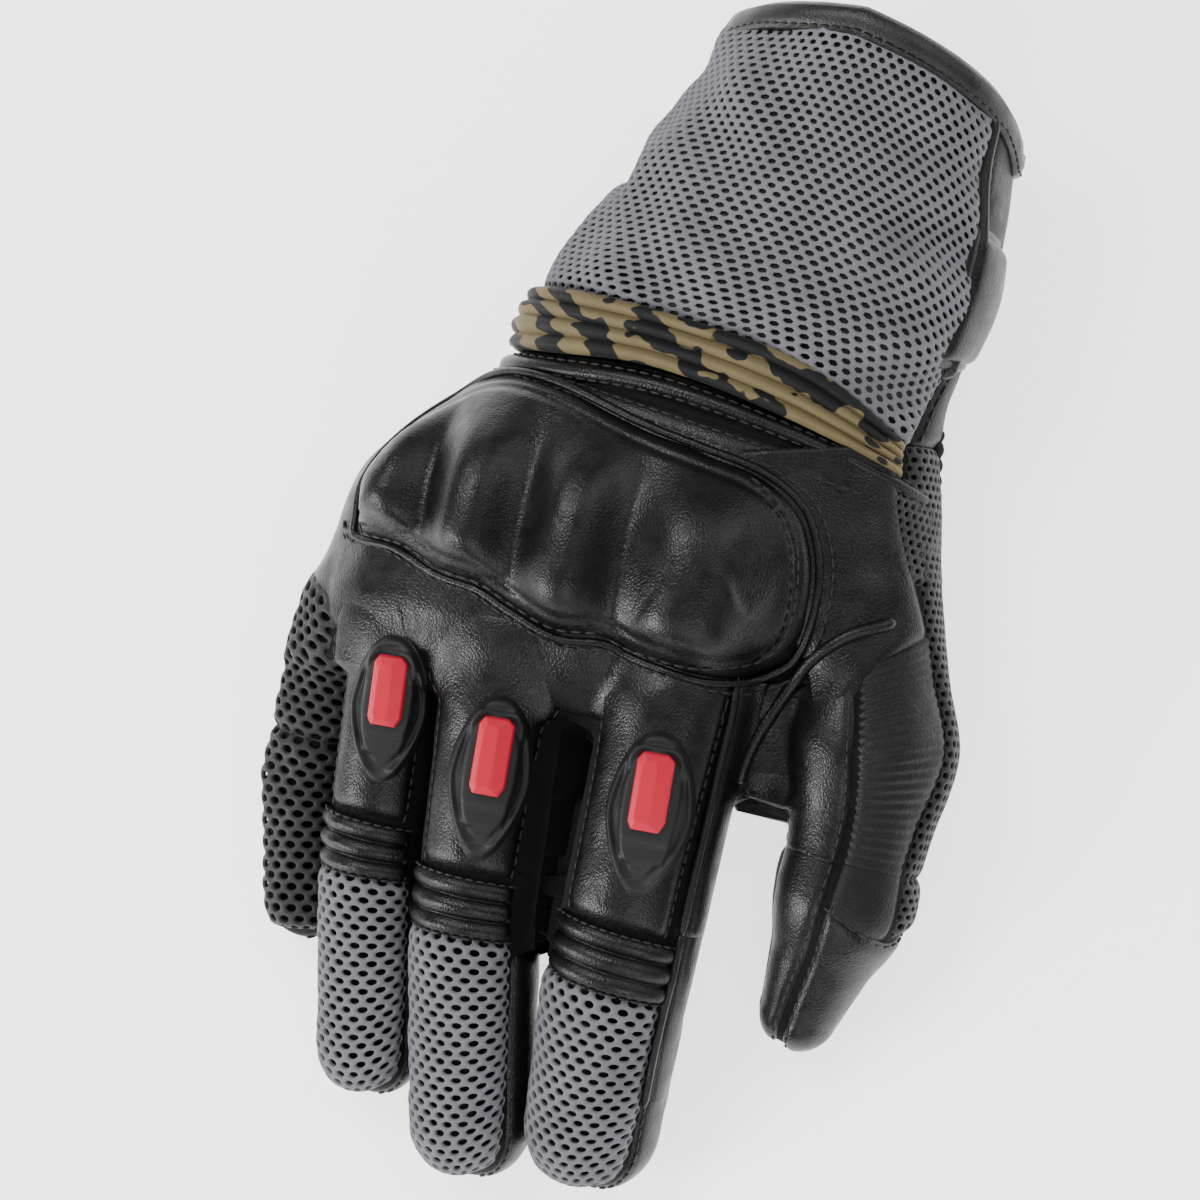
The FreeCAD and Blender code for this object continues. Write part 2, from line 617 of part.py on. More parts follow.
def palm_patch():
    """Wear patch under the heel of the palm; the glove rests on it."""
    place = Placement(
        in_frame(size("patch_x"), size("patch_y"), 0), Rotation(Vector(0, 0, 1), size("patch_heading"))
    )
    plate = primitive(
        "Box", "palm_patch_plate",
        moved(place, -size("patch_width") / 2, -size("patch_length") / 2),
        Length="sizes.patch_width * 1 mm", Width="sizes.patch_length * 1 mm",
        Height="sizes.patch_thick * 1 mm",
    )
    doc.recompute()
    rounded = doc.addObject("Part::Fillet", "palm_patch_round")
    rounded.Base = plate
    upright_edges = [
        n for n, edge in enumerate(plate.Shape.Edges, start=1)
        if abs(edge.Vertexes[0].Z - edge.Vertexes[-1].Z) > size("patch_thick") / 2
    ]
    radius = size("patch_corner")
    rounded.Edges = [(n, radius, radius) for n in upright_edges]
    keep("palm_patch", rounded)


def ring_layer(name, sections, low, high):
    """The layer between two offsets of a run of sections."""
    return cut(name, loft(f"{name}_out", sections, high), loft(f"{name}_in", sections, low))


def wrist_and_cuff():
    """Ribs and elastic in the wrist's gap; mesh cuff with its binding, lining and loop patch."""
    gap, split = size("skin_gap"), size("cuff_split")
    top = upright(split, FAR, "cuff_top")
    bottom = upright(-FAR, split - gap, "cuff_bottom")
    band = ring_layer("wrist_band", WRIST, -size("leather"), size("wrist_rib_proud"))
    wrist = section_place("wrist")
    ribs = []
    for number in range(3):
        high = -size("wrist_rib_start") - number * size("wrist_rib_pitch")
        slab = block_between(f"wrist_rib_slab_{number}", wrist, z=(high - size("wrist_rib_width"), high))
        ribs.append(common(f"wrist_rib_{number}", band, slab))
    rings = group("wrist_rings", *ribs)
    keep("wrist_ribs", common("wrist_ribs_top", rings, top))
    keep("wrist_elastic", common("wrist_ribs_bottom", rings, bottom))

    wall = ring_layer("cuff_wall_part", CUFF, -size("cuff_wall"), 0)
    keep("cuff_mesh", common("cuff_upper", wall, top))
    keep("cuff_underside", common("cuff_lower", wall, bottom))
    inside = -size("cuff_wall") - gap
    keep("cuff_lining", ring_layer("cuff_lining_part", CUFF, inside - size("lining"), inside))
    edge = ring_layer("cuff_edge", CUFF, gap, gap + size("binding_proud"))
    rim = block_between("cuff_rim_range", section_place("cuff_mouth"), z=(-1, size("binding_width")))
    keep("cuff_binding", common("cuff_rim", edge, rim))

    middle = section_place("cuff_middle")
    margin = size("hook_margin")
    patch_range = block_between(
        "patch_range", middle, x=(size("strap_end") - 2, FAR), y=(0, FAR),
        z=(size("strap_low") + margin, size("strap_high") - margin),
    )
    loop_top = gap + size("loop_thick")
    loop = ring_layer("cuff_loop", CUFF, gap, loop_top)
    keep("cuff_loop_patch", common("cuff_loop_cut", loop, patch_range))
    hook_low = loop_top + size("hook_gap")
    hook_top = hook_low + size("hook_thick")
    hook = ring_layer("strap_hook", CUFF, hook_low, hook_top)
    keep("strap_hook_patch", common("strap_hook_cut", hook, patch_range))
    strap_low = hook_top + gap
    strap = ring_layer("strap_ring", CUFF, strap_low, strap_low + size("strap_thick"))
    upper = block_between(
        "strap_upper", middle, x=(size("strap_end") - 4, FAR), y=(0, FAR),
        z=(size("strap_low"), size("strap_high")),
    )
    lower = block_between(
        "strap_lower", middle, x=(size("strap_root"), FAR), y=(-FAR, 0),
        z=(size("strap_low"), size("strap_high")),
    )
    keep("closure_strap", common("closure_strap_cut", strap, fuse("strap_range", upper, lower)))


def write_parts():
    """Checks every object and writes one STEP file per sub-part."""
    doc.recompute()
    for thing in doc.Objects:
        if "Invalid" in thing.State or "Error" in thing.State:
            raise RuntimeError(f"{thing.Name} did not compute: {thing.State}")
    os.makedirs("parts", exist_ok=True)
    for node, thing in subparts.items():
        shape = thing.Shape
        if shape.isNull() or not shape.isValid() or not shape.Solids:
            raise RuntimeError(f"{node} has no valid solid")
        shape.exportStep(f"parts/{node}.step")
        box = shape.BoundBox
        print(
            f"{node:24s} {len(shape.Solids)} solids {shape.Volume:9.0f} mm3 "
            f"x {box.XMin:7.1f} {box.XMax:7.1f} y {box.YMin:7.1f} {box.YMax:7.1f} z {box.ZMin:6.1f} {box.ZMax:6.1f}"
        )


fill_sheet()
for digit in DIGITS:
    first, second = digit_places(digit)
    first_part(digit, first)
    second_part(digit, second)
    bend_pieces(digit, first, second)
    if digit in ARMOURED:
        slider(digit, first)
hand_pieces()
guard()
palm_patch()
wrist_and_cuff()
write_parts()
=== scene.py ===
"""Looks of a right-hand riding glove, palm down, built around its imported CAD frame.

Shapes are worked out in the glove's own plan, in millimetres, and moved to the frame in metres.
"""

import logging
import math
from dataclasses import dataclass
from enum import Enum
from typing import Callable, Dict, List, Optional, Sequence, Tuple

import bmesh
import bpy
import numpy as np
from mathutils import Matrix, Vector

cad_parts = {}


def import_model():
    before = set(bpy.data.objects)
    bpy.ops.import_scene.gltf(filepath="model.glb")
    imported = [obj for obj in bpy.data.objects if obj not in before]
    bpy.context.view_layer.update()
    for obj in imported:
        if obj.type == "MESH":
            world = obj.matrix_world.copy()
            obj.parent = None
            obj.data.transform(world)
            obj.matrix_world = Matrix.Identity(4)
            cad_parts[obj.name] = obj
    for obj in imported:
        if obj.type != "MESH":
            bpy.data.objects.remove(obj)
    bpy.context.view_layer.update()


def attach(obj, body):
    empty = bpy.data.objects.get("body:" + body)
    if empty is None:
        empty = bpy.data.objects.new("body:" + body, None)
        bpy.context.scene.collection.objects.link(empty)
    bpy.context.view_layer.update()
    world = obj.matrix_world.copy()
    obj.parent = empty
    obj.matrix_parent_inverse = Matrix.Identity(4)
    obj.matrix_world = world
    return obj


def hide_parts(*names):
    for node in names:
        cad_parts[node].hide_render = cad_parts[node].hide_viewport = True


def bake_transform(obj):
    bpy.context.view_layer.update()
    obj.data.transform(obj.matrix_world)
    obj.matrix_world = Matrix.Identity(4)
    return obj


logging.basicConfig(level=logging.INFO, format="%(message)s")
LOG = logging.getLogger("glove")

PLAN_ORIGIN = np.array([14.13, -6.24, 0.0])
Array = np.ndarray


def to_frame(points: Array) -> Array:
    """Moves plan millimetres to frame metres.

    Args:
        points: positions whose last axis is x, y, z in the plan.

    Returns:
        The same positions in the frame.
    """
    return (np.asarray(points, float) - PLAN_ORIGIN) * 0.001


def unit(v: Array) -> Array:
    """Scales vectors on the last axis to length one."""
    return v / np.maximum(np.linalg.norm(v, axis=-1, keepdims=True), 1e-9)


def eased(values: Sequence[float], t: Array) -> Array:
    """Reads a smooth curve through evenly spaced values.

    Args:
        values: one number, or the curve's values from its start to its end.
        t: where to read it, from 0 to 1.

    Returns:
        The curve's value at each t.
    """
    v = np.atleast_1d(np.asarray(values, float))
    if len(v) == 1:
        return np.full_like(np.asarray(t, float), v[0])
    x = np.clip(t, 0, 1) * (len(v) - 1)
    i = np.clip(np.floor(x).astype(int), 0, len(v) - 2)
    f = x - i
    p = np.concatenate([[2 * v[0] - v[1]], v, [2 * v[-1] - v[-2]]])
    a, b, c, d = p[i], p[i + 1], p[i + 2], p[i + 3]
    return 0.5 * (2 * b + (c - a) * f + (2 * a - 5 * b + 4 * c - d) * f**2 + (3 * b - a - 3 * c + d) * f**3)


def curve(points: Sequence[Sequence[float]], count: int, closed: bool = False) -> Array:
    """Smooth line through points, read at evenly spaced lengths.

    Args:
        points: points in the plan, in mm.
        count: how many points to read.
        closed: True if it returns to its start.

    Returns:
        The points.
    """
    p = np.asarray(points, float)
    if closed:
        p = np.concatenate([p[-2:], p, p[:3]])
        t = np.linspace(2, len(p) - 3, count * 8 + 1) / (len(p) - 1)
    else:
        t = np.linspace(0, 1, count * 8 + 1)
    fine = np.stack([eased(p[:, k], t) for k in range(p.shape[1])], 1)
    run = np.concatenate([[0], np.cumsum(np.linalg.norm(np.diff(fine, axis=0), axis=1))])
    spots = np.linspace(0, run[-1], count + 1 if closed else count)
    out = np.stack([np.interp(spots, run, fine[:, k]) for k in range(p.shape[1])], 1)
    return out[:-1] if closed else out


def ripple(p: Array, size: float, seed: int) -> Array:
    """Smooth made-up unevenness from -1 to 1 with folds about size millimetres apart.

    Args:
        p: points in the plan, in mm.
        size: distance between folds, in mm.
        seed: fixed seed.

    Returns:
        A value for each point.
    """
    rng = np.random.default_rng(seed)
    total = np.zeros(p.shape[:-1])
    for _ in range(7):
        way = unit(rng.normal(size=3)) * 2 * math.pi / (size * rng.uniform(0.7, 1.6))
        total += np.sin(p @ way + rng.uniform(0, 6.28))
    return total / 3.5


# ---------------------------------------------------------------- the glove's rounded volume


@dataclass(frozen=True)
class Bone:
    """One rounded stretch of the glove between two points.

    Attributes:
        a, b: ends, in the plan.
        ra, rb: half widths at the ends.
        flat: how many times wider than thick it is.
    """

    a: Tuple[float, float, float]
    b: Tuple[float, float, float]
    ra: float
    rb: float
    flat: float = 1.08

    def distance(self, p: Array) -> Array:
        """Distance from each point to the bone's skin, negative inside.

        Args:
            p: points in the plan, in mm.

        Returns:
            A distance for each point, in mm.
        """
        a, b = np.array(self.a), np.array(self.b)
        ab = b - a
        t = np.clip((p - a) @ ab / (ab @ ab), 0, 1)
        d = p - a - t[..., None] * ab
        r = self.ra + (self.rb - self.ra) * t
        high = d[..., 2] * self.flat
        return np.sqrt(d[..., 0] ** 2 + d[..., 1] ** 2 + high**2) - r


@dataclass(frozen=True)
class Section:
    """An elliptical section: centre, half width, half height, and heading in degrees."""

    x: float
    y: float
    z: float
    wide: float
    high: float
    heading: float


def smooth_min(a: Array, b: Array, k: float) -> Array:
    """The lower of two distances, rounded where they meet."""
    h = np.clip(0.5 + 0.5 * (b - a) / k, 0, 1)
    return b + (a - b) * h - k * h * (1 - h)


class Line:
    """A centre line with directions, along which a tube of the glove is measured."""

    def __init__(self, points: Sequence[Sequence[float]], tip: float = 0.0, roll: float = 0.0) -> None:
        """Makes the line.

        Args:
            points: what the line passes through, in the plan.
            tip: radius of the rounded end, or 0 where the tube stays open.
            roll: turn of its back about the line, in degrees.
        """
        self.path = curve(points, 160)
        step = np.linalg.norm(np.diff(self.path, axis=0), axis=1)
        self.run = np.concatenate([[0], np.cumsum(step)])
        self.length = float(self.run[-1])
        self.tip = tip
        self.ways = unit(np.gradient(self.path, axis=0))
        across = unit(np.stack([-self.ways[:, 1], self.ways[:, 0], 0 * self.ways[:, 0]], 1))
        back = np.cross(self.ways, across)
        c, s = math.cos(math.radians(roll)), math.sin(math.radians(roll))
        self.across, self.back = across * c + back * s, back * c - across * s

    def read(self, table: Array, s: Array) -> Array:
        """Reads one of the line's tables at lengths s."""
        return np.stack([np.interp(s, self.run, table[:, k]) for k in range(3)], -1)

    def near(self, point: Sequence[float]) -> float:
        """Length along the line of the spot nearest a point."""
        return float(self.run[np.argmin(np.linalg.norm(self.path - np.array(point), axis=1))])

    def aim(self, s: Array, angle: Array) -> Tuple[Array, Array]:
        """Start points on the line and directions out of it.

        Args:
            s: length along the line; past its end it goes round the tip.
            angle: degrees from the back, positive towards the thumb.

        Returns:
            Start points and unit directions.
        """
        a = np.radians(angle)[..., None]
        out = np.cos(a) * self.read(self.back, s) + np.sin(a) * self.read(self.across, s)
        if self.tip:
            over = np.clip((s - self.length) / self.tip, 0, math.pi / 2)[..., None]
            out = np.cos(over) * out + np.sin(over) * self.read(self.ways, s)
        return self.read(self.path, s), unit(out)


class Trunk(Line):
    """The hand and cuff: a wide tube, aimed from a line that is spread sideways."""

    def __init__(self, sections: Sequence[Section]) -> None:
        """Keeps what the class works with.

        Args:
            sections: its sections in order.
        """
        super().__init__([(q.x, q.y, q.z) for q in sections])
        heads = np.radians([q.heading for q in sections])
        t = self.run / self.length
        stations = np.array([self.near((q.x, q.y, q.z)) for q in sections]) / self.length
        head = np.interp(t, stations, heads)
        self.across = np.stack([np.cos(head), np.sin(head), 0 * head], 1)
        self.ways = np.stack([-np.sin(head), np.cos(head), 0 * head], 1)
        self.back = np.tile([0.0, 0.0, 1.0], (len(t), 1))
        count = np.linspace(0, 1, len(sections))
        where = np.interp(t, stations, count)
        self.wide = eased([q.wide for q in sections], where)
        self.high = eased([q.high for q in sections], where)

    def aim(self, s: Array, angle: Array) -> Tuple[Array, Array]:
        """The ray that finds the skin at a length and an angle.

        Args:
            s: lengths along the line, in mm.
            angle: angles round the line, in degrees.

        Returns:
            Where each ray starts, and its direction.
        """
        a = np.radians(angle)
        side = np.sin(a) * 0.85 * (np.interp(s, self.run, self.wide) - np.interp(s, self.run, self.high))
        across = self.read(self.across, s)
        start = self.read(self.path, s) + across * side[..., None]
        out = np.cos(a)[..., None] * self.read(self.back, s) + np.sin(a)[..., None] * across
        return start, unit(out)

    def distance(self, p: Array) -> Array:
        """Distance from each point to the trunk's skin, roughly, negative inside.

        Args:
            p: points in the plan, in mm.

        Returns:
            A distance for each point, in mm.
        """
        knots = self.path[::4]
        ways = self.ways[::4]
        along = np.einsum("...k,nk->...n", p, ways) - np.einsum("nk,nk->n", knots, ways)
        i = np.clip((along > 0).sum(-1) - 1, 0, len(knots) - 2)
        low = np.take_along_axis(along, i[..., None], -1)[..., 0]
        high = np.take_along_axis(along, i[..., None] + 1, -1)[..., 0]
        f = np.clip(low / np.maximum(low - high, 1e-6), 0, 1)
        s = (self.run[::4][i] * (1 - f)) + self.run[::4][i + 1] * f
        d = p - self.read(self.path, s)
        x = (d * self.read(self.across, s)).sum(-1)
        z = d[..., 2]
        w, h = np.interp(s, self.run, self.wide), np.interp(s, self.run, self.high)
        share = (np.abs(x / w) ** 2.3 + np.abs(z / h) ** 2.3) ** (1 / 2.3)
        side = (share - 1) * h
        beyond = np.maximum(-low * (i == 0), high * (i == len(knots) - 2))
        return np.maximum(side, beyond)


HAND_SECTIONS = (
    Section(-17, -25.6, 26, 45.5, 15, -16),
    Section(-6, -11.6, 25.5, 49.5, 23.5, -16.5),
    Section(11.5, 10.4, 25, 58.5, 26, -17.5),
    Section(31.5, 32.5, 25.5, 47.5, 24.5, -20),
    Section(36.5, 44.5, 27, 46.5, 23.5, -21.7),
    Section(56.5, 74, 30, 41, 24.5, -22.5),
    Section(72.8, 106, 33, 33, 27, -25.8),
    Section(78, 117, 34, 31.5, 28, -26.5),
    Section(83, 128, 35, 30.5, 28, -27),
)


@dataclass(frozen=True)
class DigitSize:
    """One digit: its joints, the end of its line, half widths, and how flat it is."""

    name: str
    root: Tuple[float, float, float]
    bend: Tuple[float, float, float]
    tip: Tuple[float, float, float]
    radii: Tuple[float, float, float]
    flat: float
    roll: float = 0.0


DIGITS = (
    DigitSize("index", (27, -27, 33), (11.95, -81.97, 24), (2.2, -118.2, 13.2), (16.0, 15.2, 13.4), 1.1),
    DigitSize(
        "middle", (-11, -15.7, 33), (-20.97, -69, 25), (-25.8, -116.4, 12.6), (14.6, 13.2, 12.1), 1.05
    ),
    DigitSize("ring", (-35, -8.6, 30), (-45.2, -55.4, 21), (-49.5, -99, 11), (12.4, 11.3, 10.6), 1.05),
    DigitSize("little", (-50.5, -2.7, 24), (-62.8, -37.3, 15), (-65.6, -66.0, 9.1), (9.8, 9.6, 8.4), 1.05),
    DigitSize("thumb", (68, -38, 21.5), (60.5, -70, 18), (47.8, -93.6, 9.6), (16.4, 13.4, 7.8), 1.05, -40),
)


FLOOR_GAP = 3.2
# How far out a skin may lie from the line that a patch is aimed from, in millimetres.
HAND_REACH = 62
THUMB_REACH = 34
# Points on the middle line of the wrist and of the cuff's mouth, in the plan.
WRIST_MIDDLE = (36.5, 44.5, 27)
MOUTH_MIDDLE = (78, 117, 34)
# How strongly the floor glows, so that it stays pale under soft light.
FLOOR_GLOW = 1.9


class Glove:
    """The glove's whole rounded volume, and where its tubes run in it."""

    def __init__(self) -> None:
        """Keeps what the class works with."""
        self.trunk = Trunk(HAND_SECTIONS)
        self.lines: Dict[str, Line] = {}
        self.sizes = {d.name: d for d in DIGITS}
        self.fingers: Dict[str, List[Bone]] = {}
        self.focus = ""
        for d in DIGITS:
            if d.name == "thumb":
                start = (66.0, 26.0, 24.0)
                self.thumb = [Bone(start, d.root, 13.5, d.radii[0], 1.0)]
                self.thumb.append(Bone(d.root, d.bend, d.radii[0], d.radii[1], d.flat))
                self.thumb.append(Bone(d.bend, d.tip, d.radii[1], d.radii[2], d.flat))
                self.thumb.append(Bone((48, 0, 21), (45, -41, 20), 16, 10.5, 1.0))
            else:
                way = unit(np.array(d.root) - np.array(d.bend))
                behind = way * 26 - np.array([0, 0, 3.0])
                if d.name == "little":
                    behind = np.array([10.0, 13.0, 1.0])
                start = tuple(np.array(d.root) + behind)
                self.fingers[d.name] = [
                    Bone(start, d.root, d.radii[0] * 0.85, d.radii[0], d.flat),
                    Bone(d.root, d.bend, d.radii[0], d.radii[1], d.flat),
                    Bone(d.bend, d.tip, d.radii[1], d.radii[2], d.flat),
                ]
            self.lines[d.name] = Line((start, d.root, d.bend, d.tip), d.radii[2], d.roll)
        self.webs = [
            Bone((5, -16, 21), (-3, -76, 14), 12, 8),
            Bone((-24, -8, 20), (-33, -60, 12), 11, 7),
            Bone((-44, -2, 16), (-54, -34, 10), 9, 6),
        ]

    def distance(self, p: Array) -> Array:
        """Distance to the glove's skin, negative inside; with a focus, the other digits are left out.

        Args:
            p: points in the plan, in mm.

        Returns:
            A distance for each point, in mm.
        """
        if self.focus == "thumb":
            near = []
        elif self.focus:
            near = self.fingers[self.focus] + self.webs
        else:
            near = [b for bones in self.fingers.values() for b in bones] + self.webs
        thumb = self.thumb[0].distance(p)
        for bone in self.thumb[1:]:
            thumb = smooth_min(thumb, bone.distance(p), 5)
        hand = smooth_min(self.trunk.distance(p), thumb, 10)
        if near:
            hand = smooth_min(hand, np.min([b.distance(p) for b in near], axis=0), 4)
        return -smooth_min(-hand, p[..., 2] - FLOOR_GAP, 3)

    def hit(self, start: Array, way: Array, reach: float) -> Array:
        """Where a line from inside the glove first leaves its skin.

        Args:
            start: points inside.
            way: unit directions.
            reach: how far to look; a line that never leaves stops there.

        Returns:
            Points on the skin.
        """
        shape = start.shape[:-1]
        p, w = start.reshape(-1, 3), way.reshape(-1, 3)
        steps = np.linspace(0, reach, 19)[1:]
        low, high = np.zeros(len(p)), np.full(len(p), float(reach))
        found = np.zeros(len(p), bool)
        before = 0.0
        for t in steps:
            out = (~found) & (self.distance(p + w * t) > 0)
            low[out], high[out] = before, t
            found |= out
            before = t
        low[~found] = reach
        for _ in range(11):
            mid = (low + high) / 2
            out = self.distance(p + w * mid[:, None]) > 0
            high, low = np.where(out, mid, high), np.where(out, low, mid)
        return (p + w * ((low + high) / 2)[:, None]).reshape(*shape, 3)

    def normal(self, p: Array) -> Array:
        """Outward direction of the skin at points on it.

        Args:
            p: points in the plan, in mm.

        Returns:
            A unit direction for each point.
        """
        e = 0.4
        parts = []
        for k in range(3):
            d = np.zeros(3)
            d[k] = e
            parts.append(self.distance(p + d) - self.distance(p - d))
        return unit(np.stack(parts, -1))


# ---------------------------------------------------------------- materials


class Weave(Enum):
    """Kinds of surface that a finish can have."""

    LEATHER = "leather"
    FABRIC = "fabric"
    RUBBER = "rubber"
    PLASTIC = "plastic"
    PRINT = "print"
    GROUND = "ground"


@dataclass(frozen=True)
class Finish:
    """What a material looks like.

    Attributes:
        name: the material's name.
        weave: its kind of surface.
        colour: linear red, green and blue.
        rough: roughness from 0 to 1.
        grain: distance between grains, in metres.
        depth: how strong the grain is.
        gloss: strength of its clear highlights.
        slot: name of its material slot; not used.
    """

    name: str
    weave: Weave
    colour: Tuple[float, float, float]
    rough: float
    grain: float
    depth: float
    gloss: float = 0.5
    slot: str = ""


LEATHER = Finish(
    "black_leather", Weave.LEATHER, (0.0032, 0.0032, 0.0036), 0.35, 0.0009, 0.2, 0.32, "black_leather"
)
SOFT = Finish(
    "soft_leather", Weave.LEATHER, (0.0045, 0.0045, 0.005), 0.5, 0.0011, 0.25, 0.28, "soft_leather"
)
BINDING = Finish(
    "binding_leather", Weave.LEATHER, (0.005, 0.005, 0.0054), 0.42, 0.0008, 0.2, 0.45, "binding"
)
RIM = Finish("side_fabric", Weave.FABRIC, (0.004, 0.004, 0.0044), 0.85, 0.0006, 0.35, 0.15, "elastic")
GREY = Finish("grey_net", Weave.FABRIC, (0.155, 0.152, 0.170), 0.9, 0.00045, 0.4, 0.12, "grey_mesh")
BLACK_NET = Finish("black_net", Weave.FABRIC, (0.017, 0.017, 0.018), 0.6, 0.0005, 0.3, 0.35, "black_mesh")
BACKING = Finish("backing", Weave.FABRIC, (0.034, 0.038, 0.036), 0.95, 0.0006, 0.4, 0.1, "lining")
DARK_BACKING = Finish(
    "dark_backing", Weave.FABRIC, (0.003, 0.003, 0.0032), 0.95, 0.0006, 0.4, 0.1, "lining"
)
RUBBER = Finish(
    "moulded_rubber", Weave.RUBBER, (0.008, 0.0082, 0.0088), 0.55, 0.0006, 0.12, 0.35, "moulded_rubber"
)
CORAL = Finish("coral_insert", Weave.PLASTIC, (0.56, 0.009, 0.034), 0.5, 0.0012, 0.05, 0.3, "coral_insert")
PRINT = Finish(
    "patterned_rib", Weave.PRINT, (0.155, 0.12, 0.057), 0.65, 0.0007, 0.35, 0.25, "patterned_rib"
)
THREAD = Finish("thread", Weave.FABRIC, (0.010, 0.010, 0.0105), 0.55, 0.0004, 0.3, 0.4, "binding")
PALE = Finish("floor", Weave.GROUND, (0.93, 0.93, 0.93), 0.75, 0.02, 0.02, 0.2)


class Paint:
    """Builds node materials from finishes."""

    def __init__(self) -> None:
        """Keeps what the class works with."""
        self.made: Dict[str, bpy.types.Material] = {}

    def get(self, finish: Finish) -> bpy.types.Material:
        """The material of a finish, made the first time it is asked for."""
        if finish.name not in self.made:
            self.made[finish.name] = self._make(finish)
        return self.made[finish.name]

    def _make(self, f: Finish) -> bpy.types.Material:
        """Builds the node material of a finish.

        Args:
            f: the finish.

        Returns:
            The material.
        """
        material = bpy.data.materials.new(f.name)
        material.use_nodes = True
        tree = material.node_tree
        shader = next(n for n in tree.nodes if n.type == "BSDF_PRINCIPLED")
        add, link = tree.nodes.new, tree.links.new
        place = add("ShaderNodeTexCoord").outputs["Object"]

        def noise(size: float, detail: float = 3.0) -> bpy.types.NodeSocket:
            """A noise texture on Object coordinates.

            Args:
                size: size of one blotch, in metres.
                detail: how fine the noise goes.

            Returns:
                Its output.
            """
            node = add("ShaderNodeTexNoise")
            link(place, node.inputs["Vector"])
            node.inputs["Scale"].default_value = 1 / size
            node.inputs["Detail"].default_value = detail
            return node.outputs["Fac"]

        def ramp(
            value: bpy.types.NodeSocket, low: float, high: float, a: float, b: float
        ) -> bpy.types.NodeSocket:
            """Maps a value from one range to another.

            Args:
                value: the value to use.
                low: lowest value read.
                high: highest value read.
                a: result at the lowest.
                b: result at the highest.

            Returns:
                Its output.
            """
            node = add("ShaderNodeMapRange")
            link(value, node.inputs["Value"])
            for key, number in zip(("From Min", "From Max", "To Min", "To Max"), (low, high, a, b)):
                node.inputs[key].default_value = number
            return node.outputs["Result"]

        def shade(
            value: bpy.types.NodeSocket, dark: Sequence[float], light: Sequence[float]
        ) -> bpy.types.NodeSocket:
            """Mixes two colours by a value.

            Args:
                value: the value to use.
                dark: colour at 0.
                light: colour at 1.

            Returns:
                Its output.
            """
            node = add("ShaderNodeMix")
            node.data_type = "RGBA"
            link(value, node.inputs["Factor"])
            node.inputs["A"].default_value = (*dark, 1)
            node.inputs["B"].default_value = (*light, 1)
            return node.outputs["Result"]

        spread = 0.1 if f.weave in (Weave.PLASTIC, Weave.GROUND) else 0.3
        dark = [c * (1 - spread) for c in f.colour]
        light = [c * (1 + spread) for c in f.colour]
        patch = noise(0.012 if f.weave is not Weave.GROUND else 0.4)
        colour = shade(patch, dark, light)
        if f.weave is Weave.PRINT:
            stripes = add("ShaderNodeTexWave")
            link(place, stripes.inputs["Vector"])
            stripes.bands_direction = "DIAGONAL"
            for key, number in (
                ("Scale", 38.0), ("Distortion", 6.0), ("Detail", 2.0), ("Detail Scale", 2.4)
            ):
                stripes.inputs[key].default_value = number
            sharp = ramp(stripes.outputs["Fac"], 0.46, 0.54, 0, 1)
            ink = add("ShaderNodeMix")
            ink.data_type = "RGBA"
            link(sharp, ink.inputs["Factor"])
            link(colour, ink.inputs["A"])
            ink.inputs["B"].default_value = (0.006, 0.006, 0.0065, 1)
            colour = ink.outputs["Result"]
        link(colour, shader.inputs["Base Color"])
        link(ramp(noise(0.004), 0.3, 0.7, f.rough - 0.06, f.rough + 0.1), shader.inputs["Roughness"])
        shader.inputs["Specular IOR Level"].default_value = f.gloss
        if f.weave in (Weave.FABRIC, Weave.PRINT):
            shader.inputs["Sheen Weight"].default_value = 0.04
            shader.inputs["Sheen Roughness"].default_value = 0.5
        if f.weave is Weave.GROUND:
            shader.inputs["Emission Color"].default_value = (1, 1, 1, 1)
            shader.inputs["Emission Strength"].default_value = FLOOR_GLOW
        bump = add("ShaderNodeBump")
        bump.inputs["Strength"].default_value = f.depth
        bump.inputs["Distance"].default_value = 0.0004
        if f.weave is Weave.LEATHER:
            cells = add("ShaderNodeTexVoronoi")
            cells.feature = "DISTANCE_TO_EDGE"
            link(place, cells.inputs["Vector"])
            cells.inputs["Scale"].default_value = 1 / f.grain
            pebble = ramp(cells.outputs["Distance"], 0.0, 0.25, 0, 0.55)
            both = add("ShaderNodeMath")
            both.operation = "ADD"
            link(pebble, both.inputs[0])
            link(ramp(noise(0.0028, 4), 0.3, 0.7, 0, 0.7), both.inputs[1])
            link(both.outputs[0], bump.inputs["Height"])
        else:
            link(noise(f.grain, 4), bump.inputs["Height"])
        link(bump.outputs["Normal"], shader.inputs["Normal"])
        return material


# ---------------------------------------------------------------- mesh making


def new_object(name: str, mesh: bpy.types.Mesh, material: bpy.types.Material) -> bpy.types.Object:
    """Puts a mesh in the scene with one material.

    Args:
        name: its name.
        mesh: the mesh.
        material: its material.

    Returns:
        The object.
    """
    mesh.materials.clear()
    mesh.materials.append(material)
    thing = bpy.data.objects.new(name, mesh)
    bpy.context.scene.collection.objects.link(thing)
    return thing


def mesh_of(name: str, points: Array, faces: Sequence[Sequence[int]]) -> bpy.types.Mesh:
    """A smooth-shaded mesh from plan points and faces.

    Args:
        name: its name.
        points: points in the plan, in mm.
        faces: point numbers of each face.

    Returns:
        The mesh.
    """
    mesh = bpy.data.meshes.new(name)
    mesh.from_pydata(to_frame(points.reshape(-1, 3)).tolist(), [], [list(f) for f in faces])
    mesh.validate()
    form = bmesh.new()
    form.from_mesh(mesh)
    bmesh.ops.recalc_face_normals(form, faces=form.faces)
    form.to_mesh(mesh)
    form.free()
    mesh.polygons.foreach_set("use_smooth", [True] * len(mesh.polygons))
    mesh.update()
    return mesh


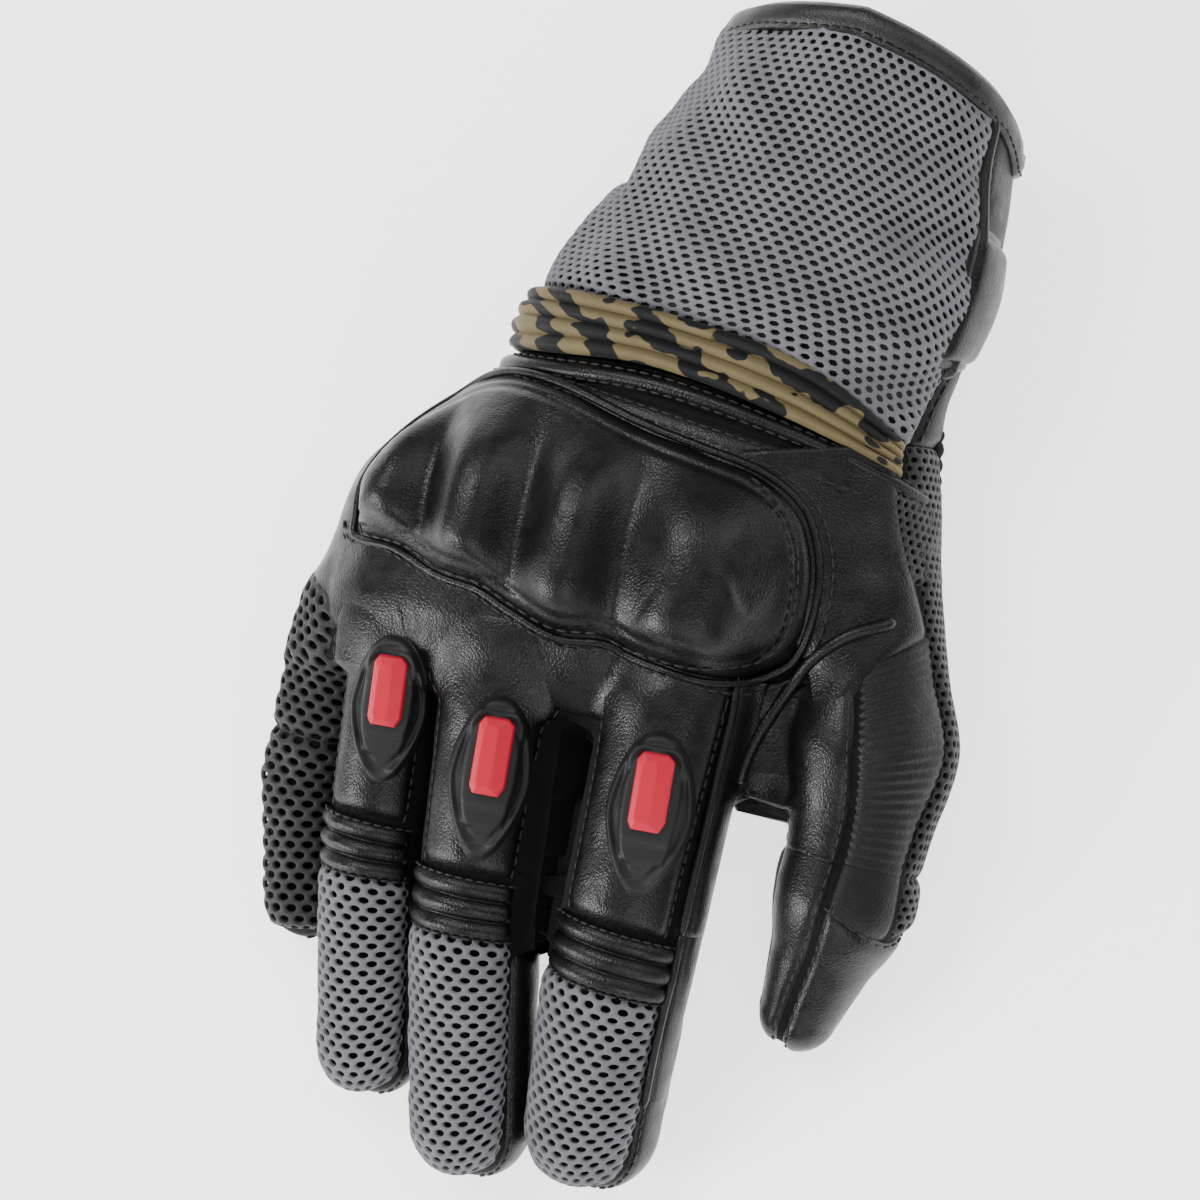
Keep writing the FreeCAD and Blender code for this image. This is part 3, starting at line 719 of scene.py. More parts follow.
def grid_faces(rows: int, cols: int, wrap: bool, start: int, flip: bool) -> List[Tuple[int, ...]]:
    """Quads of a grid of points, closed on itself along its columns if wrap is set.

    Args:
        rows: rows of points.
        cols: columns of points.
        wrap: True if the last column meets the first.
        start: number of the first point.
        flip: True to turn the faces round.

    Returns:
        The faces.
    """
    faces = []
    last = cols if wrap else cols - 1
    for i in range(rows - 1):
        for j in range(last):
            k = (j + 1) % cols
            quad = (
                start + i * cols + j, start + i * cols + k, start + (i + 1) * cols + k,
                start + (i + 1) * cols + j
            )
            faces.append(quad[::-1] if flip else quad)
    return faces


def closed_sheet(name: str, top: Array, back: Array, wrap: bool = False) -> bpy.types.Mesh:
    """A closed thin solid between a front and a back grid of points.

    Args:
        name: its name.
        top: outer grid of points.
        back: inner grid of points.
        wrap: True if the last column meets the first.

    Returns:
        The mesh.
    """
    rows, cols = top.shape[:2]
    a = top[rows // 2, cols // 2]
    du = top[rows // 2 + 1 if rows > 2 else 1, cols // 2] - a
    dv = top[rows // 2, (cols // 2 + 1) % cols] - a
    out = top[rows // 2, cols // 2] - back[rows // 2, cols // 2]
    flip = float(np.cross(dv, du) @ out) < 0
    count = rows * cols
    faces = grid_faces(rows, cols, wrap, 0, flip) + grid_faces(rows, cols, wrap, count, not flip)
    rim = []
    last = cols if wrap else cols - 1
    for i, turn in ((0, False), (rows - 1, True)):
        for j in range(last):
            k = (j + 1) % cols
            quad = (i * cols + j, count + i * cols + j, count + i * cols + k, i * cols + k)
            rim.append(quad[::-1] if turn != flip else quad)
    if not wrap:
        for j, turn in ((0, True), (cols - 1, False)):
            for i in range(rows - 1):
                quad = (i * cols + j, count + i * cols + j, count + (i + 1) * cols + j, (i + 1) * cols + j)
                rim.append(quad[::-1] if turn != flip else quad)
    return mesh_of(name, np.concatenate([top.reshape(-1, 3), back.reshape(-1, 3)]), faces + rim)


def tube_mesh(
    name: str, path: Array, radius: Array, closed: bool = False, sides: int = 10
) -> bpy.types.Mesh:
    """A round cord of given radii along a path, with domed ends.

    Args:
        name: its name.
        path: points along its middle.
        radius: radius at each point, in mm.
        closed: True if it returns to its start.
        sides: sides of its section.

    Returns:
        The mesh.
    """
    ways = unit(np.gradient(path, axis=0))
    if closed:
        ways = unit(np.roll(path, -1, 0) - np.roll(path, 1, 0))
    up = np.tile([0.0, 0.0, 1.0], (len(path), 1))
    side = unit(np.cross(ways, up))
    lift = np.cross(side, ways)
    a = np.linspace(0, 2 * math.pi, sides, endpoint=False)
    ring = np.cos(a)[None, :, None] * side[:, None] + np.sin(a)[None, :, None] * lift[:, None]
    points = path[:, None] + ring * np.broadcast_to(radius, len(path))[:, None, None]
    faces = grid_faces(len(path), sides, True, 0, True)
    if closed:
        n = len(path) - 1
        faces += [
            (j, n * sides + j, n * sides + (j + 1) % sides, (j + 1) % sides)[::-1] for j in range(sides)
        ]
    else:
        faces.append(tuple(range(sides)))
        faces.append(tuple((len(path) - 1) * sides + j for j in range(sides))[::-1])
    return mesh_of(name, points, faces)


@dataclass
class Patch:
    """A four-sided area of a tube: lengths s and angles, each as curves along its edges.

    Attributes:
        line: the tube it lies on.
        s0, s1: where it starts and ends along the tube, read across it.
        a0, a1: its two side angles in degrees, read along it.
        reach: how far out its skin may be.
    """

    line: Line
    s0: Sequence[float]
    s1: Sequence[float]
    a0: Sequence[float]
    a1: Sequence[float]
    reach: float = 30.0

    def at(self, glove: Glove, u: Array, v: Array) -> Tuple[Array, Array]:
        """Skin points and normals at shares u along and v across the patch.

        Args:
            glove: the glove.
            u: shares along the patch.
            v: shares across the patch.

        Returns:
            The points and their normals.
        """
        s = eased(self.s0, v) * (1 - u) + eased(self.s1, v) * u
        a = eased(self.a0, u) * (1 - v) + eased(self.a1, u) * v
        start, way = self.line.aim(s, a)
        p = glove.hit(start, way, self.reach)
        n = glove.normal(p)
        bad = (n * way).sum(-1) < 0.15
        n[bad] = way[bad]
        return p, n


# ---------------------------------------------------------------- geometry node groups


def group_with(name: str, inputs: Sequence[Tuple[str, str, object]]) -> bpy.types.NodeTree:
    """An empty geometry node group with named inputs.

    Args:
        name: the group's name.
        inputs: name, socket type and default of each input after the geometry.

    Returns:
        The group.
    """
    tree = bpy.data.node_groups.new(name, "GeometryNodeTree")
    tree.interface.new_socket("Geometry", in_out="INPUT", socket_type="NodeSocketGeometry")
    for label, kind, default in inputs:
        socket = tree.interface.new_socket(label, in_out="INPUT", socket_type=kind)
        if default is not None:
            socket.default_value = default
    tree.interface.new_socket("Geometry", in_out="OUTPUT", socket_type="NodeSocketGeometry")
    return tree


def net_group() -> bpy.types.NodeTree:
    """Turns each face of a mesh into a ring of yarn round a hole."""
    tree = group_with("net", [("Hole", "NodeSocketFloat", 0.6), ("Material", "NodeSocketMaterial", None)])
    add, link = tree.nodes.new, tree.links.new
    start, end = add("NodeGroupInput"), add("NodeGroupOutput")
    inset = add("GeometryNodeExtrudeMesh")
    inset.mode = "FACES"
    inset.inputs["Individual"].default_value = True
    inset.inputs["Offset Scale"].default_value = 0.0
    link(start.outputs["Geometry"], inset.inputs["Mesh"])
    shrink = add("GeometryNodeScaleElements")
    link(inset.outputs["Mesh"], shrink.inputs["Geometry"])
    link(inset.outputs["Top"], shrink.inputs["Selection"])
    link(start.outputs["Hole"], shrink.inputs["Scale"])
    drop = add("GeometryNodeDeleteGeometry")
    drop.domain = "FACE"
    link(shrink.outputs["Geometry"], drop.inputs["Geometry"])
    link(inset.outputs["Top"], drop.inputs["Selection"])
    real = add("GeometryNodeRealizeInstances")
    link(drop.outputs["Geometry"], real.inputs["Geometry"])
    paint = add("GeometryNodeSetMaterial")
    link(real.outputs["Geometry"], paint.inputs["Geometry"])
    link(start.outputs["Material"], paint.inputs["Material"])
    link(paint.outputs["Geometry"], end.inputs["Geometry"])
    return tree


def stitch_group() -> bpy.types.NodeTree:
    """Lays short stitches end to end along the lines of a mesh."""
    tree = group_with(
        "stitches",
        [
            ("Pitch", "NodeSocketFloat", 0.003),
            ("Length", "NodeSocketFloat", 0.0024),
            ("Radius", "NodeSocketFloat", 0.0003),
            ("Material", "NodeSocketMaterial", None),
        ],
    )
    add, link = tree.nodes.new, tree.links.new
    start, end = add("NodeGroupInput"), add("NodeGroupOutput")
    line = add("GeometryNodeMeshToCurve")
    link(start.outputs["Geometry"], line.inputs["Mesh"])
    spots = add("GeometryNodeResampleCurve")
    spots.mode = "LENGTH"
    link(line.outputs["Curve"], spots.inputs["Curve"])
    link(start.outputs["Pitch"], spots.inputs["Length"])
    ball = add("GeometryNodeMeshUVSphere")
    ball.inputs["Segments"].default_value = 8
    ball.inputs["Rings"].default_value = 6
    ball.inputs["Radius"].default_value = 1.0
    size = add("ShaderNodeCombineXYZ")
    half = add("ShaderNodeMath")
    half.operation = "MULTIPLY"
    half.inputs[1].default_value = 0.5
    link(start.outputs["Length"], half.inputs[0])
    link(start.outputs["Radius"], size.inputs["X"])
    link(start.outputs["Radius"], size.inputs["Y"])
    link(half.outputs[0], size.inputs["Z"])
    way = add("GeometryNodeInputTangent")
    turn = add("FunctionNodeAlignRotationToVector")
    turn.axis = "Z"
    link(way.outputs["Tangent"], turn.inputs["Vector"])
    place = add("GeometryNodeInstanceOnPoints")
    link(spots.outputs["Curve"], place.inputs["Points"])
    link(ball.outputs["Mesh"], place.inputs["Instance"])
    link(turn.outputs["Rotation"], place.inputs["Rotation"])
    link(size.outputs["Vector"], place.inputs["Scale"])
    real = add("GeometryNodeRealizeInstances")
    link(place.outputs["Instances"], real.inputs["Geometry"])
    paint = add("GeometryNodeSetMaterial")
    link(real.outputs["Geometry"], paint.inputs["Geometry"])
    link(start.outputs["Material"], paint.inputs["Material"])
    link(paint.outputs["Geometry"], end.inputs["Geometry"])
    return tree


def run_nodes(thing: bpy.types.Object, tree: bpy.types.NodeTree, values: Dict[str, object]) -> None:
    """Adds a node group to an object and sets its inputs by name.

    Args:
        thing: the object.
        tree: the node group.
        values: input values by name.
    """
    modifier = thing.modifiers.new(tree.name, "NODES")
    modifier.node_group = tree
    for item in tree.interface.items_tree:
        if item.item_type == "SOCKET" and item.in_out == "INPUT" and item.name in values:
            modifier[item.identifier] = values[item.name]


def settle(thing: bpy.types.Object) -> bpy.types.Object:
    """Replaces an object by one whose mesh has every modifier applied.

    Args:
        thing: the object.

    Returns:
        The new object.
    """
    view = bpy.context.evaluated_depsgraph_get()
    view.update()
    mesh = bpy.data.meshes.new_from_object(thing.evaluated_get(view), depsgraph=view)
    old, name = thing.data, thing.name
    materials = [m for m in mesh.materials if m] or [m for m in old.materials if m]
    thing.modifiers.clear()
    thing.data = mesh
    mesh.materials.clear()
    mesh.materials.append(materials[-1])
    mesh.polygons.foreach_set("material_index", [0] * len(mesh.polygons))
    mesh.polygons.foreach_set("use_smooth", [True] * len(mesh.polygons))
    bpy.data.meshes.remove(old)
    thing.name = name
    return thing


# ---------------------------------------------------------------- the workshop


@dataclass
class Hold:
    """How a piece is held: by one body, or between two about a point."""

    body: str
    other: str = ""
    pivot: Optional[Array] = None
    way: Optional[Array] = None
    spread: float = 8.0


@dataclass
class Look:
    """How a panel is padded.

    Attributes:
        base: height of its face over the skin, in mm.
        puff: extra height in its middle.
        roll: width of its rounded edges.
        edges: which edges are turned under: s start, e end, l low angle, r high angle.
        wrinkle: height of its creases.
        crease: distance between creases.
        seed: which creases.
    """

    base: float = 1.0
    puff: float = 0.5
    roll: float = 1.6
    edges: str = "selr"
    wrinkle: float = 0.22
    crease: float = 16.0
    seed: int = 1


class Workshop:
    """Makes the glove's pieces and fastens them to their bodies."""

    def __init__(self, glove: Glove, paint: Paint) -> None:
        """Keeps what the class works with.

        Args:
            glove: the glove.
            paint: the material maker.
        """
        self.glove = glove
        self.paint = paint
        self.net = net_group()
        self.stitch = stitch_group()
        self.grids: Dict[str, Array] = {}

    def fasten(self, thing: bpy.types.Object, finish: Finish, hold: Hold) -> bpy.types.Object:
        """Gives a piece its body; a piece held between two bodies is only fixed where it stands, on no body.

        Args:
            thing: the object.
            finish: its finish; not used.
            hold: the body it rides; a joint leaves it on no body.

        Returns:
            The same object.
        """
        if hold.other:
            mid, way = to_frame(hold.pivot), unit(np.asarray(hold.way, float)) * hold.spread * 0.001
            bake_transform(thing)
        else:
            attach(thing, hold.body)
        return thing

    def add(self, name: str, mesh: bpy.types.Mesh, finish: Finish, hold: Hold) -> bpy.types.Object:
        """Puts a finished mesh in place."""
        return self.fasten(new_object(name, mesh, self.paint.get(finish)), finish, hold)

    def panel(
        self,
        name: str,
        patch: Patch,
        size: Tuple[int, int],
        finish: Finish,
        hold: Hold,
        look: Look = Look(),
        extra: Optional[Callable[[Array, Array, Array], Array]] = None,
        thick: float = 1.2,
        wrap: bool = False,
    ) -> bpy.types.Object:
        """A padded panel on the glove's skin.

        Args:
            name: the piece's name.
            patch: where it lies.
            size: number of points along and across.
            finish: its material.
            hold: its body or bodies.
            look: how it is padded.
            extra: further height from u, v and the skin points.
            thick: depth of the solid under its face.
            wrap: whether it goes all the way round.

        Returns:
            The new piece.
        """
        u = np.linspace(0, 1, size[0])[:, None] * np.ones((1, size[1]))
        v = np.linspace(0, 1, size[1] + 1 if wrap else size[1])[None, : size[1]] * np.ones((size[0], 1))
        p, n = patch.at(self.glove, u, v)
        steps_u = np.linalg.norm(np.diff(p, axis=0), axis=-1)
        run_u = np.concatenate([np.zeros((1, size[1])), np.cumsum(steps_u, 0)])
        run_v = np.concatenate(
            [np.zeros((size[0], 1)), np.cumsum(np.linalg.norm(np.diff(p, axis=1), axis=-1), 1)], 1
        )
        gaps = {"s": run_u, "e": run_u[-1:] - run_u, "l": run_v, "r": run_v[:, -1:] - run_v}
        fall, swell = np.ones(size), np.ones(size)
        for edge in look.edges:
            fall = fall * (1 - np.exp(-((gaps[edge] / look.roll) ** 2)))
            swell = swell * (1 - np.exp(-((gaps[edge] / (look.roll * 4)) ** 2)))
        height = look.base + look.puff * swell + look.wrinkle * ripple(p, look.crease, look.seed) * swell
        height = -0.5 + (height + 0.5) * fall
        if extra is not None:
            height = height + extra(u, v, p)
        top = p + n * height[..., None]
        back = p + n * (np.minimum(height, 0)[..., None] - thick)
        self.grids[name] = top
        return self.add(name, closed_sheet(name, top, back, wrap), finish, hold)

    def seam(
        self, name: str, on: str, routes: Sequence[Tuple[str, float]], hold: Hold, pitch: float = 3.0,
        lift: float = 0.12
    ) -> bpy.types.Object:
        """Stitches on a panel, in rows at given distances from its edges.

        Args:
            name: the piece's name.
            on: the panel.
            routes: pairs of an edge letter and a distance from it, in mm.
            hold: its body or bodies.
            pitch: distance between stitches.
            lift: how far the thread stands off.

        Returns:
            The new piece.
        """
        grid = self.grids[on]
        points, edges = [], []
        for edge, gap in routes:
            lines = grid if edge in "lr" else np.swapaxes(grid, 0, 1)
            if edge in "re":
                lines = lines[:, ::-1]
            run = np.concatenate(
                [np.zeros((len(lines), 1)), np.cumsum(np.linalg.norm(np.diff(lines, axis=1), axis=-1), 1)],
                1
            )
            row = []
            for line, dist in zip(lines, run):
                row.append([np.interp(gap, dist, line[:, k]) for k in range(3)])
            row = np.array(row)
            ends = int(max(2, len(row) * 0.03))
            row = row[ends:-ends]
            across = self.glove.normal(row)
            first = len(points)
            points += list(row + across * lift)
            edges += [(first + i, first + i + 1) for i in range(len(row) - 1)]
        return self.thread(name, np.array(points), edges, hold, pitch)

    def thread(
        self, name: str, points: Array, edges: Sequence[Tuple[int, int]], hold: Hold, pitch: float = 3.0
    ) -> bpy.types.Object:
        """Stitches along lines given as points and edges.

        Args:
            name: its name.
            points: points in the plan, in mm.
            edges: pairs of point numbers.
            hold: the body or joint it rides.
            pitch: length of one stitch, in mm.
        """
        mesh = bpy.data.meshes.new(name)
        mesh.from_pydata(to_frame(points).tolist(), [tuple(e) for e in edges], [])
        thing = new_object(name, mesh, self.paint.get(THREAD))
        values = {"Pitch": pitch * 0.001, "Length": pitch * 0.00082, "Radius": 0.00029}
        run_nodes(thing, self.stitch, {**values, "Material": self.paint.get(THREAD)})
        return self.fasten(settle(thing), THREAD, hold)

    def netting(
        self,
        name: str,
        patch: Patch,
        cell: Tuple[float, float],
        finish: Finish,
        hold: Hold,
        hole: float = 0.6,
        lift: float = 0.9,
        yarn: float = 0.8,
        look: Optional[Look] = None,
        level: int = 1,
    ) -> bpy.types.Object:
        """Open knitted netting on the glove's skin.

        Args:
            name: the piece's name.
            patch: where it lies.
            cell: spacing of the holes across the tube and along it, in mm.
            finish: its material.
            hold: its body or bodies.
            hole: size of a hole as a share of its cell.
            lift: height of its face over the skin.
            yarn: its thickness.
            look: wrinkles and turned edges, if any.
            level: how finely it is rounded.

        Returns:
            The new piece.
        """
        u = np.linspace(0, 1, 30)[:, None] * np.ones((1, 30))
        v = np.linspace(0, 1, 30)[None] * np.ones((30, 1))
        p, _ = patch.at(self.glove, u, v)
        long = float(np.linalg.norm(np.diff(p, axis=0), axis=-1).sum(0).max())
        wide = float(np.linalg.norm(np.diff(p, axis=1), axis=-1).sum(1).max())
        rows, cols = max(3, round(long / cell[1])), max(3, round(wide / cell[0]))
        j, k = np.meshgrid(np.arange(rows + 1), np.arange(2 * cols + 2), indexing="ij")
        sway = np.where((j + k) % 2 == 0, 1, -1) / 6
        sway[0], sway[-1] = 0, 0
        pu, pv = (j + sway) / rows, (k - 0.5) / (2 * cols)
        q, n = patch.at(self.glove, np.clip(pu, 0, 1), np.clip(pv, 0, 1))
        height = np.full(q.shape[:2], lift)
        if look is not None:
            height = height + look.puff + look.wrinkle * ripple(q, look.crease, look.seed)
            edge = np.minimum(np.minimum(pu, 1 - pu) * long, np.minimum(pv, 1 - pv) * wide)
            height = -0.4 + (height + 0.4) * (1 - np.exp(-((np.maximum(edge, 0) / look.roll) ** 2)))
        q = q + n * height[..., None]
        width = 2 * cols + 2
        faces = []
        for row in range(rows):
            for col in range(cols):
                b = 2 * col + row % 2
                low, high = row * width + b, (row + 1) * width + b
                faces.append((low, low + 1, low + 2, high + 2, high + 1, high))
        a = q[rows // 2, cols]
        out = n[rows // 2, cols]
        if float(np.cross(q[rows // 2, cols + 1] - a, q[rows // 2 + 1, cols] - a) @ out) < 0:
            faces = [f[::-1] for f in faces]
        thing = new_object(name, mesh_of(name, q, faces), self.paint.get(finish))
        run_nodes(thing, self.net, {"Hole": hole, "Material": self.paint.get(finish)})
        shell = thing.modifiers.new("yarn", "SOLIDIFY")
        shell.thickness = yarn * 0.001
        shell.offset = 0.0
        if level:
            soft = thing.modifiers.new("round", "SUBSURF")
            soft.levels = soft.render_levels = level
        return self.fasten(settle(thing), finish, hold)

    def cord(
        self, name: str, path: Array, radius: float, finish: Finish, hold: Hold, closed: bool = False
    ) -> bpy.types.Object:
        """A round edging along a path in the plan.

        Args:
            name: its name.
            path: points along its middle.
            radius: its radius in mm.
            finish: its finish.
            hold: the body or joint it rides.
            closed: True if it returns to its start.
        """
        ends = np.full(len(path), radius)
        if not closed:
            taper = np.minimum(np.arange(len(path)), np.arange(len(path))[::-1])
            ends = radius * np.clip((taper + 0.4) / 2.5, 0.2, 1) ** 0.5
        return self.add(name, tube_mesh(name, path, ends, closed), finish, hold)


# ---------------------------------------------------------------- sub-assemblies


@dataclass
class HandSize:
    """Where the panels of the hand lie: shares along the trunk in mm, angles in degrees."""

    start: float = 0.6
    back: Tuple[float, float] = (-104.0, 66.0)
    palm: Tuple[float, float] = (104.0, 236.0)


class HandShell:
    """The hand: its leather back and palm, the mesh down its sides and the fabric inside."""

    def __init__(self, shop: Workshop, size: HandSize = HandSize()) -> None:
        """Keeps what the class works with."""
        self.shop = shop
        self.size = size

    def build(self) -> None:
        """Makes every piece of the hand."""
        shop, z = self.shop, self.size
        trunk, hand = shop.glove.trunk, Hold("hand")
        edge = shop.glove.trunk.near((34.0, 38.5, 26)) - 4
        core = Patch(trunk, [z.start], [edge], [-180], [180], HAND_REACH)
        inside = shop.panel(
            "hand_inner", core, (56, 140), RIM, hand, Look(0.0, 0, 1, "", 0.15, 12, 3), thick=1.0, wrap=True
        )
        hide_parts("hand_lining", "root_flex_bands", "palm_fold")
        self.front_wall(trunk, z.start)
        back = Patch(
            trunk, [15, 11, 4, 1.2, 0.8, 1.0, 1.5], [edge - 1], [z.back[0]], [z.back[1]], HAND_REACH
        )
        leather = shop.panel(
            "hand_back", back, (70, 120), LEATHER, hand, Look(1.1, 0.5, 1.8, "selr", 0.3, 15, 4)
        )
        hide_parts("back_leather")
        shop.seam("hand_back_stitches", "hand_back", [("e", 2.4), ("e", 5.2), ("r", 2.2)], hand)
        left = Patch(trunk, [3], [edge - 2], [-122], [-103], HAND_REACH)
        side = shop.netting("side_mesh", left, (3.4, 2.0), BLACK_NET, hand, 0.55, 0.2, 0.6, level=0)
        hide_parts("side_mesh_panels")
        gusset = Patch(trunk, [edge - 24], [edge - 2], [58, 66], [106], HAND_REACH)
        shop.netting(
            "hand_gusset_net", gusset, (2.6, 2.1), BLACK_NET, hand, 0.5, 0.6, 1.0,
            Look(0.5, 0.3, 1.2, "elr", 0.3, 14, 7)
        )
        palm = Patch(trunk, [2], [edge - 1], [z.palm[0]], [z.palm[1]], HAND_REACH)
        under = shop.panel(
            "hand_palm", palm, (60, 100), SOFT, hand, Look(1.0, 0.7, 1.8, "selr", 0.4, 18, 5)
        )
        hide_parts("palm_leather")
        shop.seam("hand_palm_stitches", "hand_palm", [("l", 2.2), ("r", 2.2), ("e", 2.4)], hand)
        heel = Patch(trunk, [26, 22, 26], [52, 56, 52], [150], [222], HAND_REACH)
        patch = shop.panel(
            "heel_patch", heel, (34, 40), LEATHER, hand, Look(1.7, 0.5, 2.2, "selr", 0.15, 18, 6), thick=1.8
        )
        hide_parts("palm_patch")
        shop.seam(
            "heel_patch_stitches", "heel_patch", [("l", 2.4), ("r", 2.4), ("s", 2.4), ("e", 2.4)], hand
        )

    def front_wall(self, trunk: Line, s: float) -> None:
        """The fabric that closes the hand between the roots of the fingers.

        Args:
            trunk: the line of the hand.
            s: length along the line where it stands, in mm.
        """
        angle = np.linspace(-180, 180, 73)[:-1]
        start, way = trunk.aim(np.full(72, s), angle)
        ring = self.shop.glove.hit(start, way, HAND_REACH) - way * 0.8
        middle = ring.mean(0)
        share = np.linspace(1, 0.03, 8)[:, None, None]
        top = middle + (ring - middle)[None] * share
        out = np.array([0.2, -0.9, 0.0])
        self.shop.add(
            "front_wall", closed_sheet("front_wall", top, top - out * 1.0, True), RIM, Hold("hand")
        )


GUARD_OUTLINE = (
    (-43.4, 14.7), (-42, 23.4), (-33.4, 33.4), (-20.7, 42.4), (-8.4, 44.9), (5.6, 40.9), (24.2, 31.2),
    (37.7, 25.3), (50.3, 19.8), (58.5, 12.1), (61.4, 1.1), (60, -9.8), (55.4, -18.5), (47.1, -23),
    (36.5, -25.2), (23.9, -20.8), (15.1, -16.2), (4.7, -14.7), (-5.8, -8.6), (-12.7, -3.9), (-22.5, 0),
    (-32.5, 6.4), (-42.8, 10),
)


@dataclass
class GuardSize:
    """The knuckle guard: its bumps' centres and their size, in the plan."""

    bumps: Tuple[Tuple[Tuple[float, float], float], ...] = (
        ((-33.5, 18.0), 7.6),
        ((-13.0, 11.5), 8.0),
        ((9.8, 4.5), 8.4),
        ((36.5, -5.5), 12.0),
    )
    rise: float = 7.4
    fade: float = 18.0
    swell: float = 1.8
    thick: float = 3.4
    heading: float = 14.0


class Guard:
    """The leather-covered knuckle guard, with its piping and stitches."""

    def __init__(self, shop: Workshop, size: GuardSize = GuardSize()) -> None:
        """Keeps what the class works with."""
        self.shop = shop
        self.size = size

    def ground(self, xy: Array) -> Array:
        """Skin points above plan positions.

        Args:
            xy: positions in the plan.

        Returns:
            A point for each position.
        """
        p = np.concatenate([xy, np.full((*xy.shape[:-1], 1), 26.0)], -1)
        up = np.zeros_like(p)
        up[..., 2] = 1.0
        return self.shop.glove.hit(p, up, 45)

    def build(self) -> None:
        """Makes the guard's dome, its piping and its rows of stitches."""
        shop, z, hand = self.shop, self.size, Hold("hand")
        rim = curve(GUARD_OUTLINE, 180, True)
        middle = np.array([8.0, 9.0])
        share = np.linspace(1, 0.0004, 60) ** 0.8
        xy = middle + (rim - middle)[None] * share[:, None, None]
        skin = self.ground(xy)
        gap = np.min(np.linalg.norm(xy[:, :, None] - rim[None, None], axis=-1), -1)
        h = z.thick * (1 - np.exp(-((gap / 2.6) ** 2)))
        turn = math.radians(z.heading)
        way = np.array([-math.sin(turn), -math.cos(turn)])
        side = np.array([math.cos(turn), -math.sin(turn)])
        h = h + z.swell * (1 - np.exp(-((gap / 11.0) ** 2)))
        ridges = []
        for centre, wide in z.bumps:
            d = xy - np.array(centre)
            a, b = d @ side / wide, d @ way
            fade = 1 / (1 + np.exp(-np.clip((b + z.fade) / 4.2, -30, 30)))
            ridges.append(z.rise * np.exp(-(np.abs(a) ** 2.7)) * fade)
        h = h + (np.sum(np.array(ridges) ** 4, 0) ** 0.25) * (1 - np.exp(-((gap / 5.4) ** 2.2)))
        h = h - 0.7 * np.exp(-(((gap - 4.4) / 0.9) ** 2))
        n = shop.glove.normal(skin)
        n = unit(n + np.array([0, 0, 0.8]))
        top = skin + n * (h[..., None] + 0.6)
        back = skin - n * 1.2
        top[-1], back[-1] = top[-1].mean(0), back[-1].mean(0)
        mesh = closed_sheet("knuckle_guard", top, back, True)
        piece = shop.add("knuckle_guard", mesh, LEATHER, hand)
        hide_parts("knuckle_guard_cover", "knuckle_guard_shell", "knuckle_guard_foam")
        ring = self.ground(rim)
        ring_n = shop.glove.normal(ring)
        shop.cord("guard_piping", ring + ring_n * 1.5, 0.95, LEATHER, hand, True)
        count = len(rim)
        for name, share_in, lift in (("guard_stitches_in", 0.925, 0), ("guard_stitches_out", 1.055, 1)):
            line = middle + (rim - middle) * share_in
            q = self.ground(line)
            qn = shop.glove.normal(q)
            if lift:
                q = q + qn * 1.9
            else:
                q = q + unit(qn + np.array([0, 0, 0.8])) * 4.6
            low = np.concatenate([line, np.full((count, 1), 27.0)], 1)
            good = shop.glove.distance(low) < -1.5
            edges = [(i, (i + 1) % count) for i in range(count) if good[i] and good[(i + 1) % count]]
            shop.thread(name, q, edges, hand)


@dataclass
class PodSize:
    """A moulded knuckle pod: its centre, the ends of its long axis and its width, in the plan."""

    near: Tuple[float, float]
    far: Tuple[float, float]
    wide: float = 9.6


@dataclass
class FingerSize:
    """The looks of one finger."""

    name: str
    pod: Optional[PodSize]
    ribs: Tuple[float, float]
    mesh: Tuple[float, float]
    back: Tuple[float, float] = (-66.0, 66.0)
    rib: Tuple[float, float] = (-64.0, 68.0)


FINGERS = (
    FingerSize(
        "index", PodSize((27.9, -34.6), (19.4, -71.0), 10.0), (-6.6, 6.6), (-92, HAND_REACH),
        (-56, HAND_REACH)
    ),
    FingerSize(
        "middle", PodSize((-8.6, -25.6), (-17.0, -62.0), 9.6), (-6.4, 6.6), (-92, 56), (-58, 64), (-66, 56)
    ),
    FingerSize(
        "ring", PodSize((-33.0, -10.4), (-41.0, -43.8), 9.2), (-6.0, 6.6), (-92, 60), (-62, 56), (-70, 58)
    ),
    FingerSize("little", None, (-5.0, 5.0), (-78, 84)),
)


